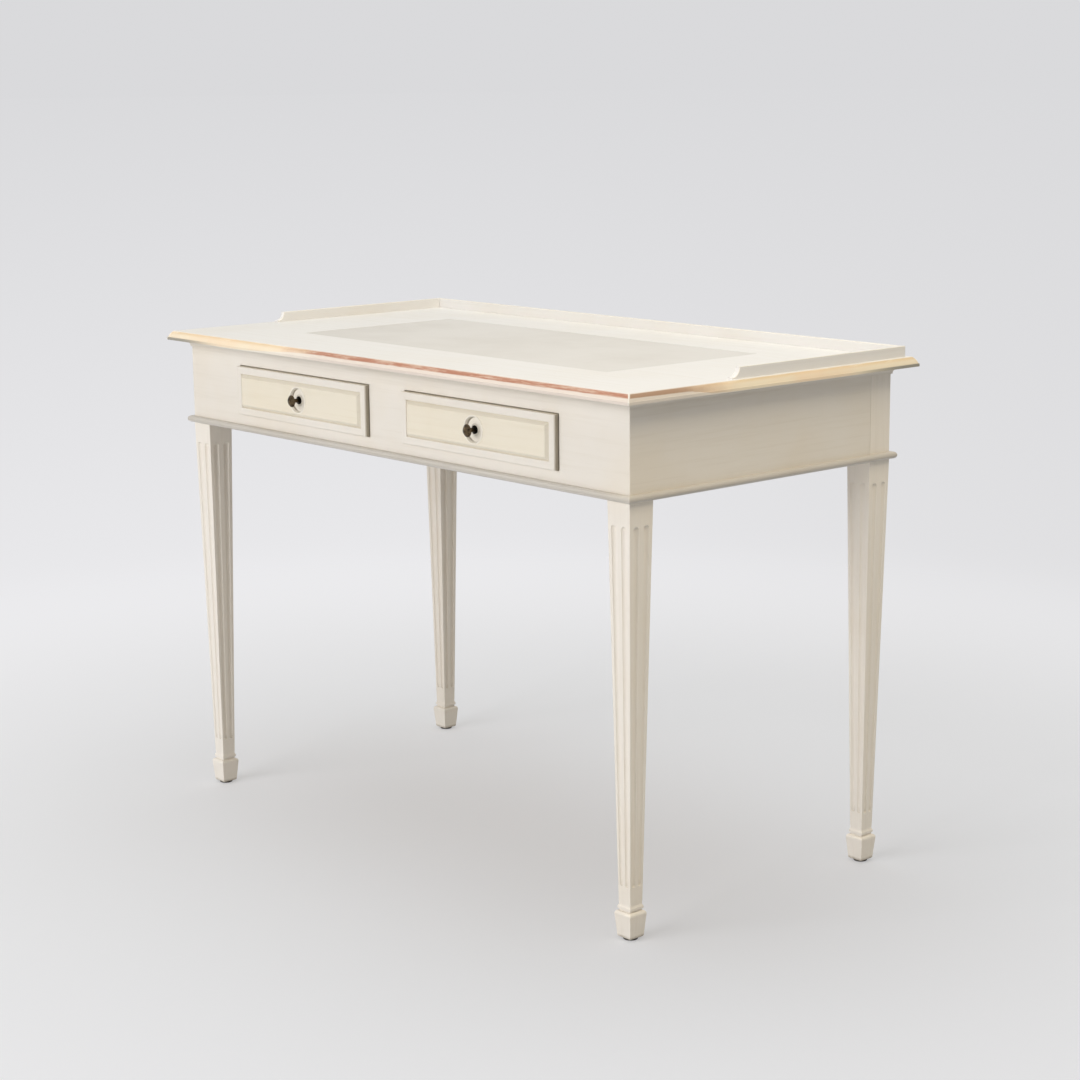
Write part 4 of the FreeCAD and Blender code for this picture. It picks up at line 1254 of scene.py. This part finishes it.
def seenDirectly(tree):
    # camera, glossy and transmitted rays see the plain backdrop
    path = addNode(tree, "LightPath").outputs
    seen = sums("MAXIMUM", path["Is Camera Ray"], path["Is Glossy Ray"])
    return sums("MAXIMUM", seen, path["Is Transmission Ray"])


def makeFloor():
    looks = floorLooks
    pickNothing()
    bpy.ops.mesh.primitive_plane_add(size=looks["size"], location=(0, 0, 0))
    floor = bpy.context.object
    floor.name = "studioFloor"
    finish = bpy.data.materials.new("paleFloor")
    finish.use_nodes = True
    tree = finish.node_tree
    tree.nodes.clear()
    place = objectPlace(tree)
    distance = addNode(tree, "VectorMath", {0: place}, operation="LENGTH").outputs["Value"]
    fade = ramp(distance, *looks["fade"], looks["least"], 1.0)
    # the tone falls off with one over the distance from the viewer, which is evenly up the picture
    viewDistance = sums("ADD", distance, looks["viewDistance"])
    away = sums("MINIMUM", sums("DIVIDE", looks["nearest"], viewDistance), 1.0)
    # a little darker towards the right of the photo
    azimuth = math.radians(cameraView["azimuth"])
    rightWay = (math.cos(azimuth), math.sin(azimuth), 0)
    sideways = addNode(tree, "VectorMath", {0: place, 1: rightWay}, operation="DOT_PRODUCT").outputs["Value"]
    lean = ramp(sums("DIVIDE", sideways, viewDistance), *looks["sideReach"])
    tone = blendTones(lean, looks["near"], looks["shade"], "MULTIPLY")
    tone = blendTones(away, looks["far"], tone)
    tone = blendTones(ramp(distance, *looks["closeReach"]), looks["close"], tone)
    glow = addNode(tree, "Emission", {"Color": tone, "Strength": 1.0}).outputs[0]
    matte = addNode(tree, "BsdfDiffuse", {"Color": solid(looks["tone"])}).outputs[0]
    mixed = addNode(tree, "MixShader", {0: times(fade, seenDirectly(tree)), 1: matte, 2: glow})
    addNode(tree, "OutputMaterial", {"Surface": mixed.outputs[0]})
    floor.data.materials.append(finish)
    return floor


def makeWorld():
    world = bpy.data.worlds.new("studio")
    bpy.context.scene.world = world
    world.use_nodes = True
    tree = world.node_tree
    tree.nodes.clear()
    light = {"Color": solid(worldLooks["tone"]), "Strength": worldLooks["strength"]}
    light = addNode(tree, "Background", light).outputs[0]
    backdrop = addNode(tree, "Background", {"Color": solid(floorLooks["far"]), "Strength": 1.0}).outputs[0]
    mixed = addNode(tree, "MixShader", {0: seenDirectly(tree), 1: light, 2: backdrop})
    addNode(tree, "OutputWorld", {"Surface": mixed.outputs[0]})


def makeLamps(floor):
    for name, looks in lampLooks.items():
        pickNothing()
        bpy.ops.object.light_add(type="AREA", location=looks["place"])
        lamp = bpy.context.object
        lamp.name = name + "Lamp"
        lamp.data.shape = "SQUARE"
        lamp.data.size = looks["size"]
        lamp.data.energy = looks["power"]
        lamp.data.color = looks["tone"]
        aim = Vector(looks["aim"]) - Vector(looks["place"])
        lamp.rotation_euler = aim.to_track_quat("-Z", "Y").to_euler()
        lamp.visible_camera = False
        lamp.visible_glossy = looks.get("glossy", True)
        lamp.visible_diffuse = looks.get("diffuse", True)
        if name == "fill":
            # the warm light from the right falls on the desk only
            spared = bpy.data.collections.new("sparedByFill")
            spared.objects.link(floor)
            lamp.light_linking.receiver_collection = spared
            spared.collection_objects[0].light_linking.link_state = "EXCLUDE"


def makeCamera():
    view = cameraView
    pickNothing()
    bpy.ops.object.camera_add()
    camera = bpy.context.object
    camera.name = "photoCamera"
    camera.data.sensor_width = view["sensor"]
    camera.data.lens = view["lens"]
    camera.data.clip_end = view["reach"]
    turn = Matrix.Rotation(math.radians(view["azimuth"]), 4, "Z")
    tilt = Matrix.Rotation(math.radians(90 - view["pitch"]), 4, "X")
    roll = Matrix.Rotation(math.radians(view["roll"]), 4, "Z")
    camera.matrix_world = Matrix.Translation(view["place"]) @ turn @ tilt @ roll
    bpy.context.scene.camera = camera


studioFloor = makeFloor()
makeWorld()
makeLamps(studioFloor)
makeCamera()
bpy.context.scene.view_settings.view_transform = "Standard"
print("floor, light and camera set")
